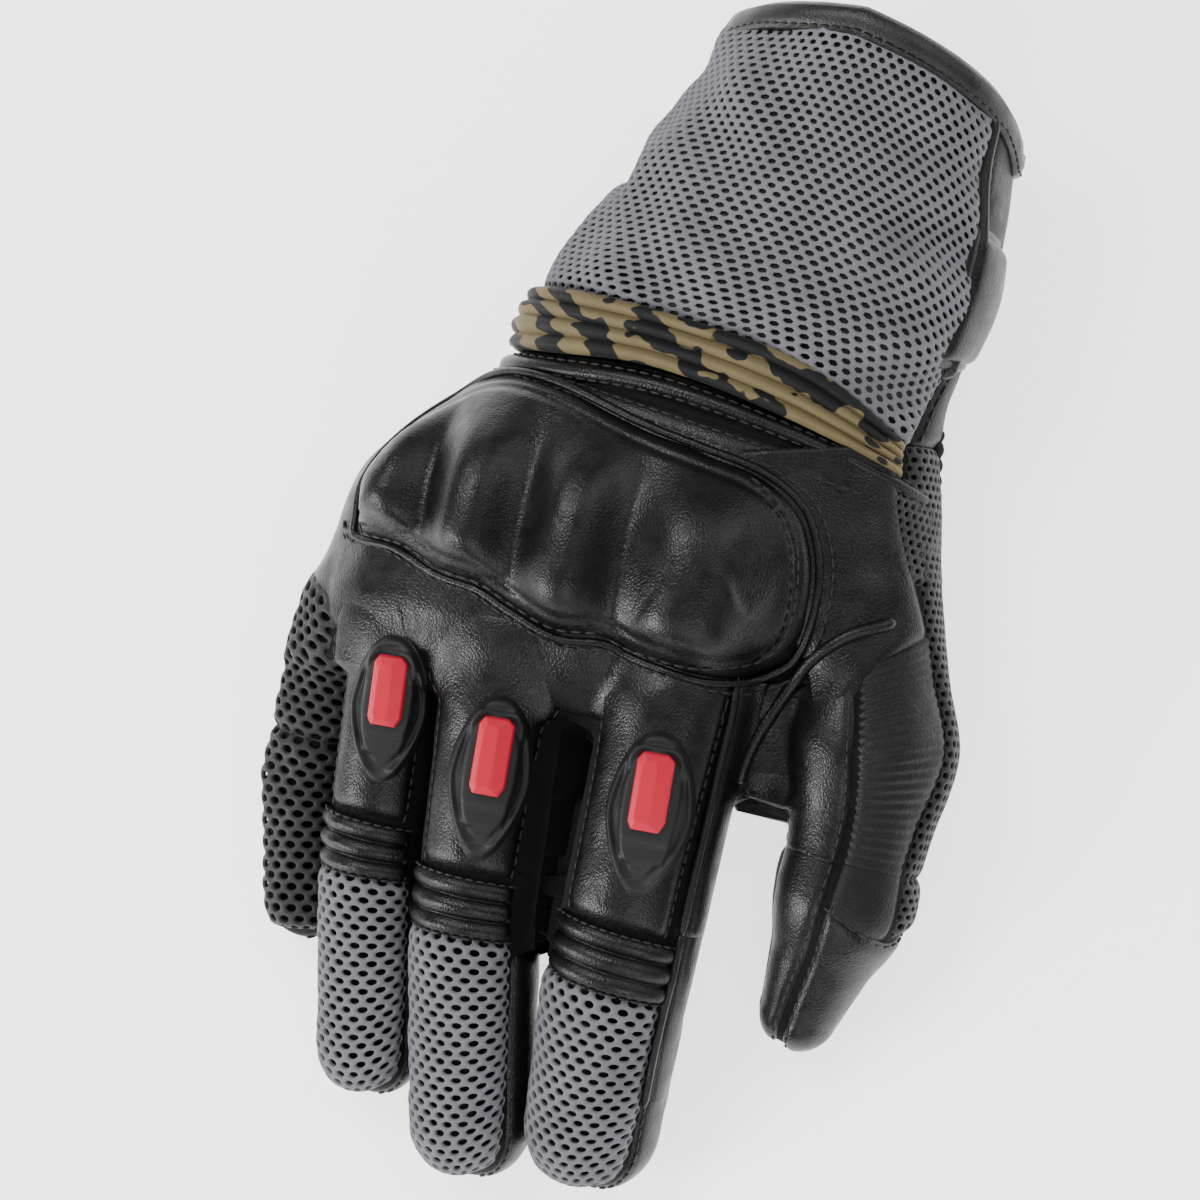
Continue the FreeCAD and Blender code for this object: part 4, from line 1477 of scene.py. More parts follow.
class Finger:
    """One finger, from its root at the hand to its tip."""

    def __init__(self, shop: Workshop, size: FingerSize, seed: int) -> None:
        """Keeps what the class works with.

        Args:
            shop: the workshop.
            size: its sizes.
            seed: fixed seed of its made-up unevenness.
        """
        self.shop = shop
        self.size = size
        self.seed = seed
        self.digit = shop.glove.sizes[size.name]
        self.line = shop.glove.lines[size.name]
        self.knuckle = self.line.near(self.digit.root)
        self.bend = self.line.near(self.digit.bend)
        self.end = self.line.length + self.line.tip * math.pi / 2 * 0.985
        way = np.array(self.digit.bend, float) - np.array(self.digit.root)
        on = np.array(self.digit.tip, float) - np.array(self.digit.bend)
        name = size.name
        self.root_hold = Hold("hand", f"{name}_base", self.digit.root, way, 8.0)
        self.bend_hold = Hold(f"{name}_base", f"{name}_end", self.digit.bend, on, 7.0)
        self.base_hold, self.end_hold = Hold(f"{name}_base"), Hold(f"{name}_end")

    def patch(
        self, s0: Sequence[float], s1: Sequence[float], a0: Sequence[float], a1: Sequence[float],
        more: float = 3.5
    ) -> Patch:
        """An area of this finger, whose skin is at most its half width and a little more away."""
        return Patch(self.line, s0, s1, a0, a1, max(self.digit.radii) + more)

    def build(self) -> None:
        """Makes every piece of the finger."""
        self.shop.glove.focus = self.size.name
        self.make()
        self.shop.glove.focus = ""

    def make(self) -> None:
        """Makes the finger's pieces while the others are left out of the glove."""
        self.inner()
        self.palm()
        if self.size.name == "little":
            self.little_top()
            return
        self.back()
        self.ribs()
        self.tip()
        self.pod()

    def inner(self) -> None:
        """The dark fabric tube under the panels, which shows as the finger's side walls."""
        shop, name, look = self.shop, self.size.name, Look(0, 0, 1, "", 0.12, 9, self.seed)
        split = self.bend - 9.5
        root = shop.panel(
            f"{name}_inner_base",
            self.patch([max(0.5, self.knuckle - 14)], [split + 1.5], [-180], [180], 8.0),
            (34, 64),
            RIM,
            self.root_hold,
            look,
            thick=1.0,
            wrap=True,
        )
        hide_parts(f"{name}_sidewalls")
        shop.panel(
            f"{name}_inner_end",
            self.patch([split], [self.end], [-180], [180]),
            (52, 64),
            RIM,
            self.bend_hold,
            look,
            thick=1.0,
            wrap=True,
        )

    def palm(self) -> None:
        """The leather under the finger and round its tip."""
        shop, name, b = self.shop, self.size.name, self.bend
        look = Look(0.9, 0.5, 1.6, "lr", 0.3, 12, self.seed + 10)
        root = shop.panel(
            f"{name}_palm_base", self.patch([self.knuckle - 6], [b - 8.5], [112], [248]), (34, 34), SOFT,
            self.root_hold, look
        )
        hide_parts(f"{name}_palm_leather")
        fold = "bend_mesh" if name == "little" else "bend_leather"
        low, high = (94, 262) if name == "index" else (100, 256)
        end = shop.panel(
            f"{name}_palm_end",
            self.patch(
                [b - 9.5], [self.line.length + self.line.tip * 1.1], [low + 10, low], [high - 10, high]
            ),
            (44, 36),
            SOFT,
            self.bend_hold,
            look,
        )
        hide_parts(f"{name}_{fold}")
        wrap = Look(1.0, 0.4, 1.5, "slr", 0.15, 9, self.seed + 11)
        a0, a1 = self.size.mesh
        tip = shop.panel(
            f"{name}_tip_wrap",
            self.patch([b + 9], [self.end], [a1 - 2, a1 - 4, a1], [a0 + 360 + 2, a0 + 364, a0 + 360]),
            (54, 54),
            LEATHER,
            self.end_hold,
            wrap,
        )
        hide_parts(f"{name}_tip_leather")
        shop.seam(f"{name}_tip_wrap_stitches", f"{name}_tip_wrap", [("l", 2.0)], self.end_hold, 2.8)

    def back(self) -> None:
        """The leather back between the guard and the ribs, and the index finger's side band."""
        shop, name = self.shop, self.size.name
        a0, a1 = self.size.back
        top = self.bend + self.size.ribs[0]
        patch = self.patch(
            [self.knuckle - 11], [top - 1.4, top + 0.4], [a0 - 4, a0, a0], [a1 + 4, a1, min(a1, 58)]
        )
        look = Look(1.3, 0.7, 1.9, "selr", 0.28, 11, self.seed + 20)
        piece = shop.panel(f"{name}_back", patch, (60, 60), LEATHER, self.root_hold, look)
        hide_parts(f"{name}_back_leather")
        shop.seam(f"{name}_back_stitches", f"{name}_back", [("l", 2.0), ("r", 2.0)], self.root_hold, 2.8)
        if name == "index":
            look = Look(1.3, 0.7, 1.9, "lr", 0.28, 11, self.seed + 20)
            side = self.patch([self.knuckle - 8], [self.bend - 8.2], [62], [114])
            shop.panel("index_side_base", side, (44, 30), LEATHER, self.root_hold, look)
            lower = self.patch([self.bend - 9], [self.bend + 30], [62, 60], [112, 104])
            shop.panel("index_side_end", lower, (36, 26), LEATHER, self.bend_hold, look)

            u = np.linspace(0, 1, 40)
            for label, part, hold in (("base", side, self.root_hold), ("end", lower, self.bend_hold)):
                p, n = part.at(shop.glove, u, np.full(40, 0.03))
                shop.cord(f"index_welt_{label}", p + n * 1.5, 0.95, LEATHER, hold)

    def ribs(self) -> None:
        """Three padded ribs across the middle joint."""
        shop, name = self.shop, self.size.name
        low, high = self.size.ribs
        b = self.bend

        def folds(u: Array, v: Array, p: Array) -> Array:
            """Height of the ribs at shares u and v."""
            wave = np.abs(np.sin(math.pi * 3 * u)) ** 0.75
            ends = np.clip(np.minimum(v, 1 - v) / 0.08, 0, 1)
            return 1.5 * wave * ends**0.5

        a0, a1 = self.size.rib
        patch = self.patch([b + low - 1.6, b + low + 0.8], [b + high - 1.6, b + high + 0.8], [a0], [a1])
        look = Look(0.5, 0.2, 1.0, "lr", 0.15, 9, self.seed + 30)
        piece = shop.panel(f"{name}_ribs", patch, (61, 40), LEATHER, self.bend_hold, look, folds)
        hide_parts(f"{name}_stretch_ribs")
        shop.seam(
            f"{name}_rib_stitches", f"{name}_ribs", [("s", 0.5), ("e", 0.5)], self.bend_hold, 2.4, 0.5
        )

    def tip(self) -> None:
        """The grey perforated back of the fingertip."""
        shop, name, b = self.shop, self.size.name, self.bend
        low = b + self.size.ribs[1]
        far = self.line.length + self.line.tip * 1.12
        a0, a1 = self.size.mesh
        patch = self.patch(
            [low - 2.2, low + 0.4], [far - 4, far, far, far - 5], [a0, a0, a0 + 4], [a1, a1, a1 - 6]
        )
        look = Look(0.4, 0.9, 1.9, "selr", 0.25, 8, self.seed + 40)
        net = shop.netting(
            f"{name}_tip_mesh_net", patch, (3.7, 2.1), GREY, self.end_hold, 0.6, 0.5, 1.3, look
        )
        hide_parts(f"{name}_tip_mesh")
        under = Look(-0.7, 0.9, 1.9, "selr", 0.25, 8, self.seed + 40)
        shop.panel(f"{name}_tip_backing", patch, (40, 40), BACKING, self.end_hold, under, thick=0.8)

    def little_top(self) -> None:
        """The little finger's coarse black mesh and its leather edge."""
        shop, b = self.shop, self.bend
        look = Look(0.6, 0.6, 1.4, "slr", 0.3, 10, self.seed + 50)
        tip = Look(0.6, 0.6, 1.4, "elr", 0.3, 10, self.seed + 50)
        a0, a1 = self.size.mesh
        near = self.patch([self.knuckle - 5, self.knuckle - 3], [b - 8.2], [a0], [46, 66, a1])
        net = shop.netting(
            "little_back_net", near, (4.0, 2.5), BLACK_NET, self.root_hold, 0.6, 0.6, 1.2, look
        )
        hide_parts("little_back_leather")
        far = self.patch([b - 8.4], [self.line.length + 7], [a0], [a1])
        net = shop.netting("little_end_net", far, (4.0, 2.5), BLACK_NET, self.bend_hold, 0.6, 0.6, 1.2, tip)
        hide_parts("little_tip_mesh")
        band = Look(1.1, 0.5, 1.5, "lr", 0.2, 9, self.seed + 60)
        shop.panel(
            "little_side_base", self.patch([self.knuckle + 2], [b - 8], [-114], [a0 - 2]), (34, 18), LEATHER,
            self.root_hold, band
        )
        shop.panel(
            "little_side_end", self.patch([b - 9], [b + 22], [-112], [a0 - 2]), (30, 18), LEATHER,
            self.bend_hold, band
        )

    def pod(self) -> None:
        """The moulded pod on the first phalanx and its coral insert."""
        shop, pod, name = self.shop, self.size.pod, self.size.name
        near, far = np.array(pod.near), np.array(pod.far)
        half = float(np.linalg.norm(far - near)) / 2
        way, middle = (far - near) / (2 * half), (far + near) / 2
        side = np.array([-way[1], way[0]])
        theta = np.linspace(0, 2 * math.pi, 121)[:-1]
        c, s = np.cos(theta), np.sin(theta)
        narrowing = 1 - 0.30 * np.maximum(s, 0) ** 1.4 - 0.08 * np.maximum(-s, 0)
        width = pod.wide * np.sign(c) * np.abs(c) ** 0.92 * narrowing
        rim = np.stack([width, half * s], 1)
        share = np.linspace(1, 0.02, 52)[:, None, None]
        local = rim[None] * share
        x, y = local[..., 0], local[..., 1]
        t = y / half
        r = np.broadcast_to(share[..., 0], x.shape)

        def step(value: Array, at: float, soft: float) -> Array:
            """A soft step from 0 to 1."""
            return 1 / (1 + np.exp(-np.clip((value - at) / soft, -40, 40)))

        inner = pod.wide * 0.62
        room = step(inner * (1 - 0.45 * np.maximum(t, 0) ** 1.2) - np.abs(x), 0, 0.16)
        high = 3.3 - 0.9 * step(
            y, half * 0.34, 0.22
        ) - 0.8 * step(y, half * 0.58, 0.22) - 1.2 * step(y, half * 0.80, 0.22)
        high = high - 1.6 * step(-y, half * 0.80, 0.2)
        h = 1.5 + (high - 1.5) * room
        h = h + 0.75 * np.exp(-(((r - 0.9) * pod.wide / 0.55) ** 2))
        h = h - 0.5 * np.exp(-(((r - 0.76) * pod.wide / 0.5) ** 2))
        h = -0.4 + (h + 0.4) * (1 - np.exp(-(((1 - r) * pod.wide / 0.55) ** 2)))
        c, ax, ay, n = self.seat(middle, way, side, half * 0.6)
        skin = self.ground(middle + x[..., None] * side + y[..., None] * way)
        flat = c + x[..., None] * ax + y[..., None] * ay
        bend = ((skin - flat) @ n) * (0.3 + 0.7 * r**5)
        top = flat + n * (h + 1.9 + bend)[..., None]
        back = flat + n * (np.minimum(bend, 0) - 0.6)[..., None]
        piece = shop.add(
            f"{name}_pod", closed_sheet(f"{name}_pod", top, back, True), RUBBER, self.base_hold
        )
        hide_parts(f"{name}_slider")
        self.insert(c - ay * half * 0.27, ax, ay, n, half)

    def seat(
        self, middle: Array, way: Array, side: Array, reach: float
    ) -> Tuple[Array, Array, Array, Array]:
        """A flat seat on the finger: its centre, its directions across and along, and its outward one.

        Args:
            middle: centre of the seat.
            way: direction along it.
            side: direction across it.
            reach: half length of the seat, in mm.

        Returns:
            The centre and three directions.
        """
        spots = np.array(
            [middle, middle - way * reach, middle + way * reach, middle - side * 5, middle + side * 5]
        )
        c, low, high, left, right = self.ground(spots)
        y, x = unit(high - low), unit(right - left)
        x = unit(x - (x @ y) * y)
        n = np.cross(x, y)
        return c, x, y, n if n[2] > 0 else -n

    def ground(self, xy: Array) -> Array:
        """Skin points of this finger above plan positions.

        Args:
            xy: positions in the plan.

        Returns:
            A point for each position.
        """
        p = np.concatenate([xy, np.full((*xy.shape[:-1], 1), 24.0)], -1)
        up = np.zeros_like(p)
        up[..., 2] = 1
        return self.shop.glove.hit(p, up, 40)

    def insert(self, c: Array, x: Array, y: Array, n: Array, half: float) -> None:
        """The bevelled coral insert: a base outline, a shoulder and a narrower flat top.

        Args:
            c: centre.
            x: direction across.
            y: direction along.
            n: outward direction.
            half: half length, in mm.
        """
        shop, name = self.shop, self.size.name
        wide, reach = self.size.pod.wide * 0.41, half * 0.46
        outline = np.array(
            [(-0.72, -1), (0.62, -1), (1, -0.84), (1, 0.74), (0.72, 1), (-0.78, 1), (-1, 0.8), (-1, -0.8)]
        )
        rows = []
        for grow, up, shift in ((0.96, 2.6, 0.0), (1.0, 5.6, 0.0), (0.94, 6.3, -0.02), (0.42, 7.3, -0.26)):
            local = outline * np.array([wide * grow, reach * (1 - (1 - grow) * 0.36)])
            local[:, 0] += shift * wide
            rows.append(c + local[:, :1] * x + local[:, 1:] * y + n * up)
        points = np.concatenate(rows)
        faces = [tuple(range(8))[::-1], tuple(range(24, 32))]
        for row in range(3):
            low = row * 8
            faces += [(low + j, low + (j + 1) % 8, low + 8 + (j + 1) % 8, low + 8 + j) for j in range(8)]
        mesh = mesh_of(f"{name}_coral", points, faces)
        thing = new_object(f"{name}_coral", mesh, self.shop.paint.get(CORAL))
        bevel = thing.modifiers.new("bevel", "BEVEL")
        bevel.width, bevel.segments, bevel.limit_method, bevel.angle_limit = 0.00035, 3, "ANGLE", 0.3
        bevel.harden_normals = True
        shop.fasten(settle(thing), CORAL, self.base_hold)
        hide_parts(f"{name}_insert")


class Thumb:
    """The thumb: ribbed mesh over its back, a leather tip cap and leather inside."""

    def __init__(self, shop: Workshop) -> None:
        """Keeps what the class works with.

        Args:
            shop: the workshop.
        """
        self.shop = shop
        self.digit = shop.glove.sizes["thumb"]
        self.line = shop.glove.lines["thumb"]
        self.knuckle = self.line.near(self.digit.root)
        self.bend = self.line.near(self.digit.bend)
        self.end = self.line.length + self.line.tip * math.pi / 2 * 0.985
        way = np.array(self.digit.bend, float) - np.array(self.digit.root)
        on = np.array(self.digit.tip, float) - np.array(self.digit.bend)
        self.root_hold = Hold("hand", "thumb_base", self.digit.root, way, 9.0)
        self.bend_hold = Hold("thumb_base", "thumb_end", self.digit.bend, on, 7.0)

    def patch(
        self, s0: Sequence[float], s1: Sequence[float], a0: Sequence[float], a1: Sequence[float]
    ) -> Patch:
        """An area of the thumb."""
        return Patch(self.line, s0, s1, a0, a1, THUMB_REACH)

    def build(self) -> None:
        """Makes every piece of the thumb."""
        self.shop.glove.focus = "thumb"
        self.make()
        self.shop.glove.focus = ""
        self.welt()

    def make(self) -> None:
        """Makes the thumb's pieces while the fingers are left out of the glove."""
        shop, b, o = self.shop, self.bend, self.knuckle - 46
        look = Look(0, 0, 1, "", 0.15, 12, 71)
        split = b - 9
        inner = shop.panel(
            "thumb_inner_base", self.patch([0], [split + 1.5], [-180], [180]), (50, 72), RIM, self.root_hold,
            look, wrap=True
        )
        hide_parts("thumb_sidewalls")
        shop.panel(
            "thumb_inner_end", self.patch([split], [self.end], [-180], [180]), (44, 64), RIM, self.bend_hold,
            look, wrap=True
        )
        ribs = Look(0.5, 0.5, 1.5, "slr", 0.3, 16, 72)
        ends = Look(0.5, 0.5, 1.5, "elr", 0.3, 16, 72)
        base = self.patch([0], [b - 8], [8, 10, 24, 36, 34, 30], [112, 118, 112])
        net = shop.netting(
            "thumb_back_net", base, (2.6, 2.1), BLACK_NET, self.root_hold, 0.5, 0.5, 1.0, ribs
        )
        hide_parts("thumb_gusset_mesh", "thumb_back_mesh")
        far = self.patch([b - 8.4], [b + 4, b + 2], [30], [112])
        net = shop.netting(
            "thumb_bend_net", far, (2.6, 2.1), BLACK_NET, self.bend_hold, 0.5, 0.5, 1.0, ends
        )
        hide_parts("thumb_bend_mesh")
        leather = Look(1.0, 0.6, 1.8, "selr", 0.35, 13, 73)

        def stripes(u: Array, v: Array, p: Array) -> Array:
            """Height of the fine stripes."""
            return 0.16 * np.sin(2 * math.pi * 24 * u)

        near = self.patch([0], [o + 46, o + 38, o + 31, o + 27, o + 24], [-96, -72], [6, 8, 18, 34])
        shop.panel(
            "thumb_root_back", near, (50, 60), LEATHER, self.root_hold,
            Look(1.1, 0.4, 1.8, "er", 0.3, 15, 77)
        )
        inset = self.patch([o + 29, o + 25, o + 21], [b - 8], [-39], [36, 38, 32])
        shop.panel(
            "thumb_stripe_base", inset, (120, 34), SOFT, self.root_hold,
            Look(0.6, 0.5, 1.4, "slr", 0.3, 15, 76), stripes
        )
        lower = self.patch([b - 8.4], [b + 6, b + 5], [-39], [32])
        shop.panel(
            "thumb_stripe_end", lower, (40, 34), SOFT, self.bend_hold,
            Look(0.6, 0.5, 1.4, "elr", 0.3, 15, 76)
        )
        ball = shop.panel(
            "thumb_side_base", self.patch([o + 30, o + 33], [b - 7.6], [-122, -112], [-38]), (44, 40),
            LEATHER, self.root_hold, Look(1.0, 0.6, 1.6, "slr", 0.25, 13, 78)
        )
        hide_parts("thenar_leather")
        shop.seam("thumb_side_stitches", "thumb_side_base", [("r", 2.0), ("l", 2.0)], self.root_hold)
        under = self.patch([o + 6], [b - 8], [122], [236])
        palm = shop.panel("thumb_palm_base", under, (44, 40), SOFT, self.root_hold, leather)
        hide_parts("thumb_palm_leather")
        side = self.patch([b - 8.6], [self.end], [-112], [-38])
        shop.panel(
            "thumb_side_end", side, (50, 40), LEATHER, self.bend_hold,
            Look(1.0, 0.6, 1.6, "lr", 0.25, 13, 78)
        )
        shop.seam("thumb_side_end_stitches", "thumb_side_end", [("r", 1.8)], self.bend_hold)
        cap = self.patch([b - 1, b + 2, b + 4, b + 3, b], [self.end], [-40], [102])
        tip = shop.panel(
            "thumb_cap", cap, (54, 54), LEATHER, self.bend_hold, Look(1.2, 0.5, 1.7, "slr", 0.2, 12, 74)
        )
        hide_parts("thumb_tip_back")
        shop.seam("thumb_cap_stitches", "thumb_cap", [("s", 2.0), ("l", 2.0)], self.bend_hold)
        low = self.patch([b - 8.4], [self.end], [102], [258])
        under = shop.panel(
            "thumb_palm_end", low, (50, 46), SOFT, self.bend_hold, Look(1.0, 0.5, 1.7, "slr", 0.3, 12, 75)
        )
        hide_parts("thumb_tip_leather")


    def welt(self) -> None:
        """The raised seam from the thumb across to the index finger."""
        path = curve(THUMB_WELT, 60)
        p = np.concatenate([path, np.full((60, 1), 22.0)], 1)
        up = np.tile([0.0, 0.0, 1.0], (60, 1))
        skin = self.shop.glove.hit(p, up, 45)
        line = skin + self.shop.glove.normal(skin) * 1.1
        smooth = np.array([line[max(0, i - 2) : i + 3].mean(0) for i in range(60)])
        self.shop.cord("thumb_welt", smooth, 1.5, LEATHER, Hold("hand"))


THUMB_WELT = (
    (77, -12), (73, -13.5), (68, -15), (62.7, -17.6), (57.5, -21), (52.5, -25.5), (47.5, -32), (43, -39),
    (39.5, -46)
)


@dataclass
class WristSize:
    """The ribbed band over the wrist: its two edges in mm from the wrist line, and its angles."""

    low: Tuple[float, ...] = (-9.0, -8.0, -4.0, -5.0, -9.0)
    high: Tuple[float, ...] = (3.0, 6.0, 8.3, 8.0, -1.0)
    angles: Tuple[float, float] = (-92.0, 72.0)
    ribs: int = 4


class Wrist:
    """The wrist: printed ribs over its back and elastic under it."""

    def __init__(self, shop: Workshop, size: WristSize = WristSize()) -> None:
        """Keeps what the class works with.

        Args:
            shop: the workshop.
            size: its sizes.
        """
        self.shop = shop
        self.size = size
        self.line = shop.glove.trunk
        self.mid = self.line.near(WRIST_MIDDLE)
        self.hold = Hold("hand", "cuff", (34.0, 38.5, 26.0), (0.36, 0.93, 0.05), 8.0)

    def build(self) -> None:
        """Makes the wrist's inner tube, ribs, leather welt and elastic."""
        shop, z, m = self.shop, self.size, self.mid
        inner = Patch(self.line, [m - 22], [m + 13], [-180], [180], HAND_REACH)
        shop.panel(
            "wrist_inner", inner, (36, 120), RIM, self.hold, Look(-1.9, 0, 1, "", 0.1, 12, 80), thick=0.8,
            wrap=True
        )

        def folds(u: Array, v: Array, p: Array) -> Array:
            """Height of the ribs at shares u and v."""
            wave = np.abs(np.sin(math.pi * z.ribs * u)) ** 0.7
            ends = np.clip(np.minimum(v, 1 - v) / 0.05, 0, 1) ** 0.5
            return 1.7 * wave * ends

        low, high = [m + x for x in z.low], [m + x for x in z.high]
        patch = Patch(self.line, low, high, [z.angles[0]], [z.angles[1]], HAND_REACH)
        look = Look(0.9, 0.2, 1.0, "lr", 0.15, 14, 81)
        ribs = shop.panel("wrist_ribs_print", patch, (65, 120), PRINT, self.hold, look, folds)
        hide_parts("wrist_ribs")
        welt = Patch(self.line, [x - 6.5 for x in low], [x - 0.4 for x in low], [-100], [88], HAND_REACH)
        shop.panel(
            "wrist_welt", welt, (26, 110), LEATHER, self.hold, Look(1.9, 0.7, 1.6, "selr", 0.2, 12, 82)
        )
        shop.seam("wrist_welt_stitches", "wrist_welt", [("s", 1.8), ("e", 1.6)], self.hold)
        under = Patch(self.line, [m - 15], [m + 7], [96], [264], HAND_REACH)

        def gathers(u: Array, v: Array, p: Array) -> Array:
            """Height of the gathers."""
            return 0.7 * np.abs(np.sin(math.pi * 6 * u)) ** 0.8

        elastic = shop.panel(
            "wrist_gathers", under, (72, 90), RIM, self.hold, Look(0.9, 0.1, 1.2, "selr", 0.15, 9, 83),
            gathers
        )
        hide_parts("wrist_elastic")


@dataclass
class CuffSize:
    """The cuff: the angles of its mesh and, from wrist to rim, of its bound side edge, in degrees."""

    mesh: Tuple[float, float] = (-112.0, 64.0)
    side: Tuple[float, ...] = (72.0, 82.0, 75.0, 68.0, 64.0)


class Cuff:
    """The cuff: grey mesh over, leather under, a bound rim and a closing strap."""

    def __init__(self, shop: Workshop, size: CuffSize = CuffSize()) -> None:
        """Keeps what the class works with.

        Args:
            shop: the workshop.
            size: its sizes.
        """
        self.shop = shop
        self.size = size
        self.line = shop.glove.trunk
        self.start = self.line.near(WRIST_MIDDLE)
        self.mouth = self.line.near(MOUTH_MIDDLE)
        self.hold = Hold("cuff")

    def rim_at(self, angle: Array) -> Array:
        """Length along the line of the rim at an angle.

        Args:
            angle: angles round the line, in degrees.

        Returns:
            Lengths in mm.
        """
        a = (np.asarray(angle, float) + 180) % 360 - 180
        left = -13.5 * np.clip(-a / 78, 0, 1) ** 1.1
        right = -12.5 * np.clip(a / 96, 0, 1) ** 2.4
        return self.mouth + np.where(a < 0, left, right) - 0.5

    def build(self) -> None:
        """Makes every piece of the cuff and the strap."""
        shop, m, hold = self.shop, self.start, self.hold
        a0, a1 = self.size.mesh
        turn = np.linspace(-180, 180, 13)
        inner = Patch(self.line, [m + 10], list(self.rim_at(turn)), [-180], [180], HAND_REACH)
        lining = shop.panel(
            "cuff_inner", inner, (50, 130), RIM, hold, Look(-2.4, 0.0, 1, "", 0.2, 17, 90), thick=0.8,
            wrap=True
        )
        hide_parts("cuff_lining", "cuff_loop_patch")
        edge = self.rim_at(np.linspace(a0, a1, 9))
        start = [m + 2.5, m + 5.5, m + 7.6, m + 7.2, m - 2]
        wrinkle = Look(0.6, 0.8, 1.6, "selr", 1.5, 14, 91)
        area = Patch(self.line, start, list(edge - 1.0), [a0], self.size.side, HAND_REACH)
        net = shop.netting("cuff_net", area, (3.2, 1.8), GREY, hold, 0.58, 0.5, 1.1, wrinkle, 0)
        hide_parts("cuff_mesh")
        shop.panel(
            "cuff_backing", area, (60, 90), BACKING, hold, Look(0.1, 0.8, 1.6, "selr", 1.5, 14, 91),
            thick=0.6
        )
        b0, b1 = a1 + 2, a0 + 358
        low_edge = self.rim_at(np.linspace(b0, b1, 9))
        under = Patch(
            self.line, [m - 1, m + 4, m + 4, m + 4], list(low_edge - 1), [x + 2 for x in self.size.side],
            [b1], HAND_REACH
        )
        sole = shop.panel(
            "cuff_sole", under, (60, 90), SOFT, hold, Look(0.9, 0.6, 1.8, "selr", 0.5, 20, 92)
        )
        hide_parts("cuff_underside")
        shop.seam("cuff_sole_stitches", "cuff_sole", [("l", 2.2), ("r", 2.2)], hold)
        self.binding(a1)
        self.strap(a1)

    def skin(self, s: Array, angle: Array) -> Tuple[Array, Array]:
        """Skin points and normals at lengths and angles.

        Args:
            s: lengths along the line, in mm.
            angle: angles round the line, in degrees.

        Returns:
            The points and their normals.
        """
        start, way = self.line.aim(s, angle)
        p = self.shop.glove.hit(start, way, HAND_REACH)
        n = self.shop.glove.normal(p)
        bad = (n * way).sum(-1) < 0.15
        n[bad] = way[bad]
        return p, n

    def binding(self, side: float) -> None:
        """Leather folded over the rim, and the bound edge that runs down the thumb side.

        Args:
            side: angle of its thumb side, in degrees.
        """
        shop = self.shop
        angle = np.linspace(-180, 180, 181)[:-1]
        s = self.rim_at(angle)
        rows = []
        for back, out in (
            (6.4, 0.4), (5.8, 2.1), (3.0, 2.8), (0.6, 2.5), (-0.5, 1.0), (-0.4, -1.2), (1.2, -2.2),
            (4.5, -2.2)
        ):
            p, n = self.skin(s - max(back, 0.0), angle)
            along = self.line.read(self.line.ways, s)
            rows.append(p + n * out + along * max(-back, 0.0))
        top = np.array(rows)
        inner = top.mean(0, keepdims=True)
        back = top + unit(inner - top) * 0.5
        mesh = closed_sheet("rim_binding", top, back, True)
        piece = shop.add("rim_binding", mesh, BINDING, self.hold)
        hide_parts("cuff_binding")
        p, n = self.skin(s - 5.0, angle)
        count = len(p)
        shop.thread(
            "rim_stitches", p + n * 2.5, [(i, (i + 1) % count) for i in range(count)], self.hold, 2.6
        )
        low = self.start + 16
        band = Patch(
            self.line, [low], [float(self.rim_at(np.array([side + 2]))[0]) - 2.5], [78, 76, 70, 63, 61],
            [88, 86, 80, 72, 70], HAND_REACH
        )

        def round_end(u: Array, v: Array, p: Array) -> Array:
            """Height of the rounded edge."""
            return 0.6 * np.sqrt(np.clip(1 - (2 * v - 1) ** 2, 0, 1))

        look = Look(2.1, 0.6, 1.3, "selr", 0.1, 14, 93)
        shop.panel("side_binding", band, (60, 18), BINDING, self.hold, look, round_end, thick=2.0)
        shop.seam("side_binding_stitches", "side_binding", [("l", 1.5)], self.hold, 2.6)

    def strap(self, side: float) -> None:
        """The strap that closes the cuff on the thumb side and under it.

        Args:
            side: angle of its thumb side, in degrees.
        """
        shop, m = self.shop, self.start
        hold = Hold("strap")
        area = Patch(
            self.line, [m + 18, m + 22, m + 24], [m + 52, m + 50, m + 48], [side + 3], [200], HAND_REACH
        )
        look = Look(3.0, 0.7, 2.0, "selr", 0.25, 22, 94)
        piece = shop.panel("closing_strap", area, (36, 80), LEATHER, hold, look, thick=-1.6)
        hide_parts("closure_strap", "strap_hook_patch")
        shop.seam("closing_strap_stitches", "closing_strap", [("s", 2.2), ("e", 2.2), ("r", 2.4)], hold)


# ---------------------------------------------------------------- the studio


FLOOR_WIDTH = 6  # metres
SKY_STRENGTH = 0.32
LIGHTS = (  # name, place in metres, width in metres, power in watts
    ("key", (-1.0, -0.45, 0.55), 0.5, 15),
    ("top", (-0.35, 0.5, 1.1), 0.5, 9),
    ("fill", (0.8, 0.5, 0.9), 0.9, 6),
    ("front", (0.25, -0.95, 0.9), 0.8, 7),
)


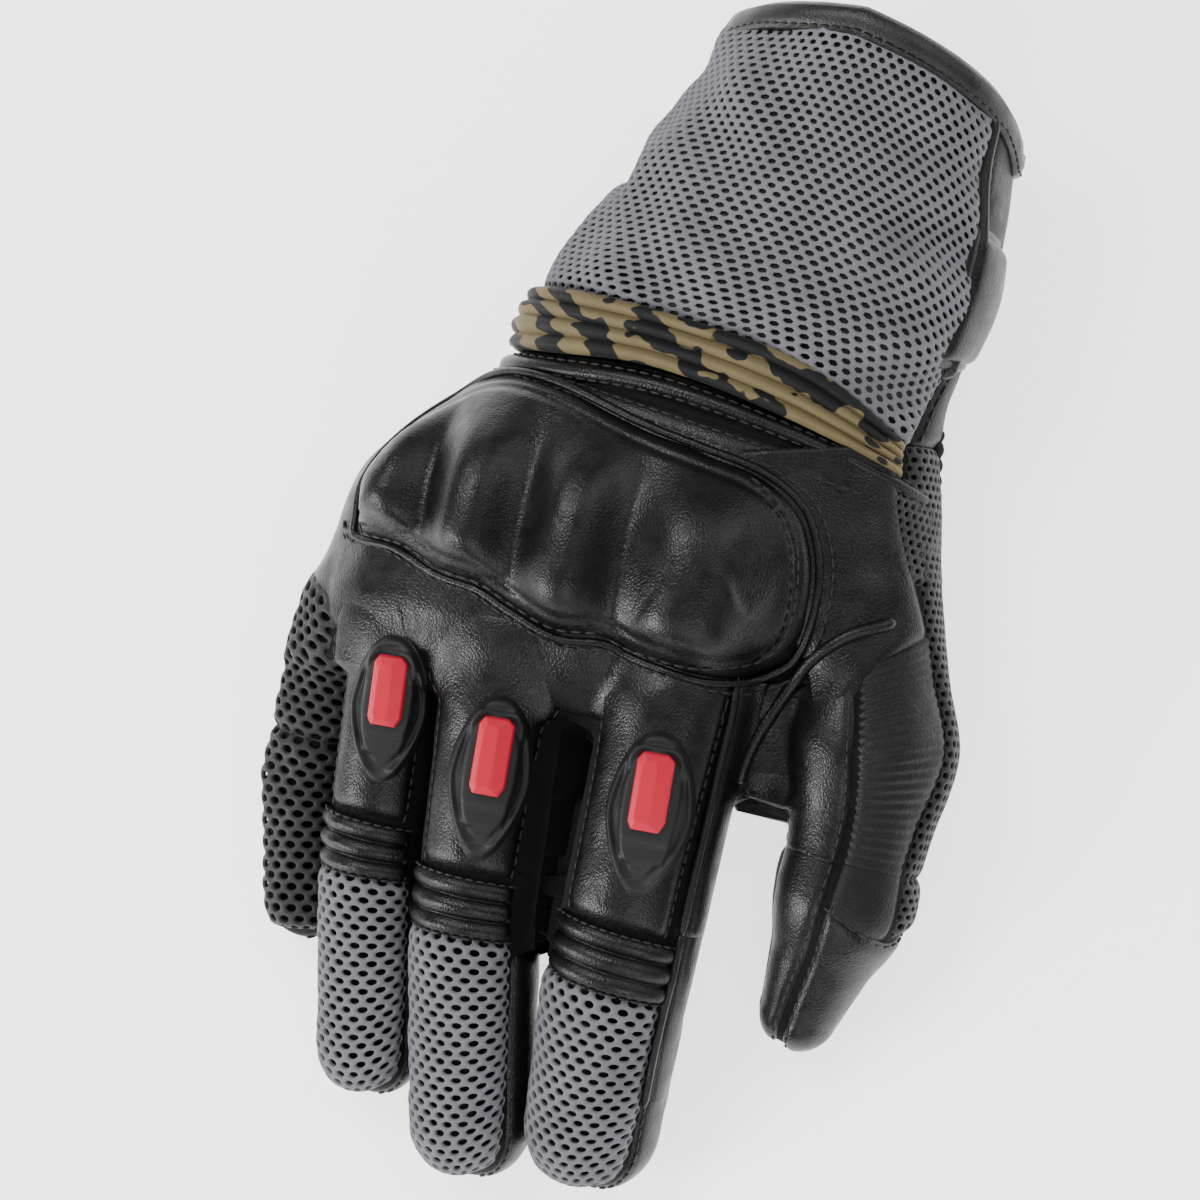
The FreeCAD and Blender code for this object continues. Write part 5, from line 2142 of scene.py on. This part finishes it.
class Studio:
    """Floor, light and camera."""

    def __init__(self, paint: Paint) -> None:
        """Keeps what the class works with."""
        self.paint = paint

    def build(self) -> None:
        """Sets a pale floor, soft lights and the camera."""
        bpy.ops.mesh.primitive_plane_add(size=FLOOR_WIDTH, location=(0, 0, 0))
        floor = bpy.context.object
        floor.name = "floor"
        floor.data.materials.append(self.paint.get(PALE))
        for name, place, size, power in LIGHTS:
            self.light(name, place, size, power)
        world = bpy.data.worlds.new("studio")
        world.use_nodes = True
        sky = next(n for n in world.node_tree.nodes if n.type == "BACKGROUND")
        sky.inputs["Color"].default_value = (1, 1, 1, 1)
        sky.inputs["Strength"].default_value = SKY_STRENGTH
        bpy.context.scene.world = world
        self.camera()

    def light(self, name: str, place: Tuple[float, float, float], size: float, power: float) -> None:
        """A square soft light aimed at the glove.

        Args:
            name: its name.
            place: where it stands, in metres.
            size: its width in metres.
            power: its power in watts.
        """
        data = bpy.data.lights.new(name, "AREA")
        data.size, data.energy = size, power
        lamp = bpy.data.objects.new(name, data)
        lamp.location = place
        lamp.rotation_euler = (Vector((0, 0, 0.02)) - Vector(place)).to_track_quat("-Z", "Y").to_euler()
        bpy.context.scene.collection.objects.link(lamp)

    def camera(self) -> None:
        """The view: almost straight down, leaning a little towards the thumb side."""
        data = bpy.data.cameras.new("view")
        lens = bpy.data.objects.new("view", data)
        out = unit(np.array([0.2756, -0.1338, 0.9519]))
        right = unit(np.array([0.9605, 0.0, -0.2781]))
        up = np.cross(out, right)
        aim = to_frame(np.zeros(3)) + out * 0.026
        far = 1.6
        spot = aim + out * far
        matrix = np.eye(4)
        matrix[:3, 0], matrix[:3, 1], matrix[:3, 2], matrix[:3, 3] = right, up, out, spot
        lens.matrix_world = Matrix(matrix.tolist())
        data.angle = 2 * math.atan(0.132 / far)
        data.clip_end = 20
        bpy.context.scene.collection.objects.link(lens)
        bpy.context.scene.camera = lens


def main() -> None:
    """Builds the glove's looks."""
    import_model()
    paint = Paint()
    shop = Workshop(Glove(), paint)
    HandShell(shop).build()
    LOG.info("hand done")
    Guard(shop).build()
    for seed, finger in enumerate(FINGERS):
        Finger(shop, finger, 100 * (seed + 1)).build()
        LOG.info("%s done", finger.name)
    Thumb(shop).build()
    Wrist(shop).build()
    Cuff(shop).build()
    Studio(paint).build()


if __name__ == "__main__":
    main()
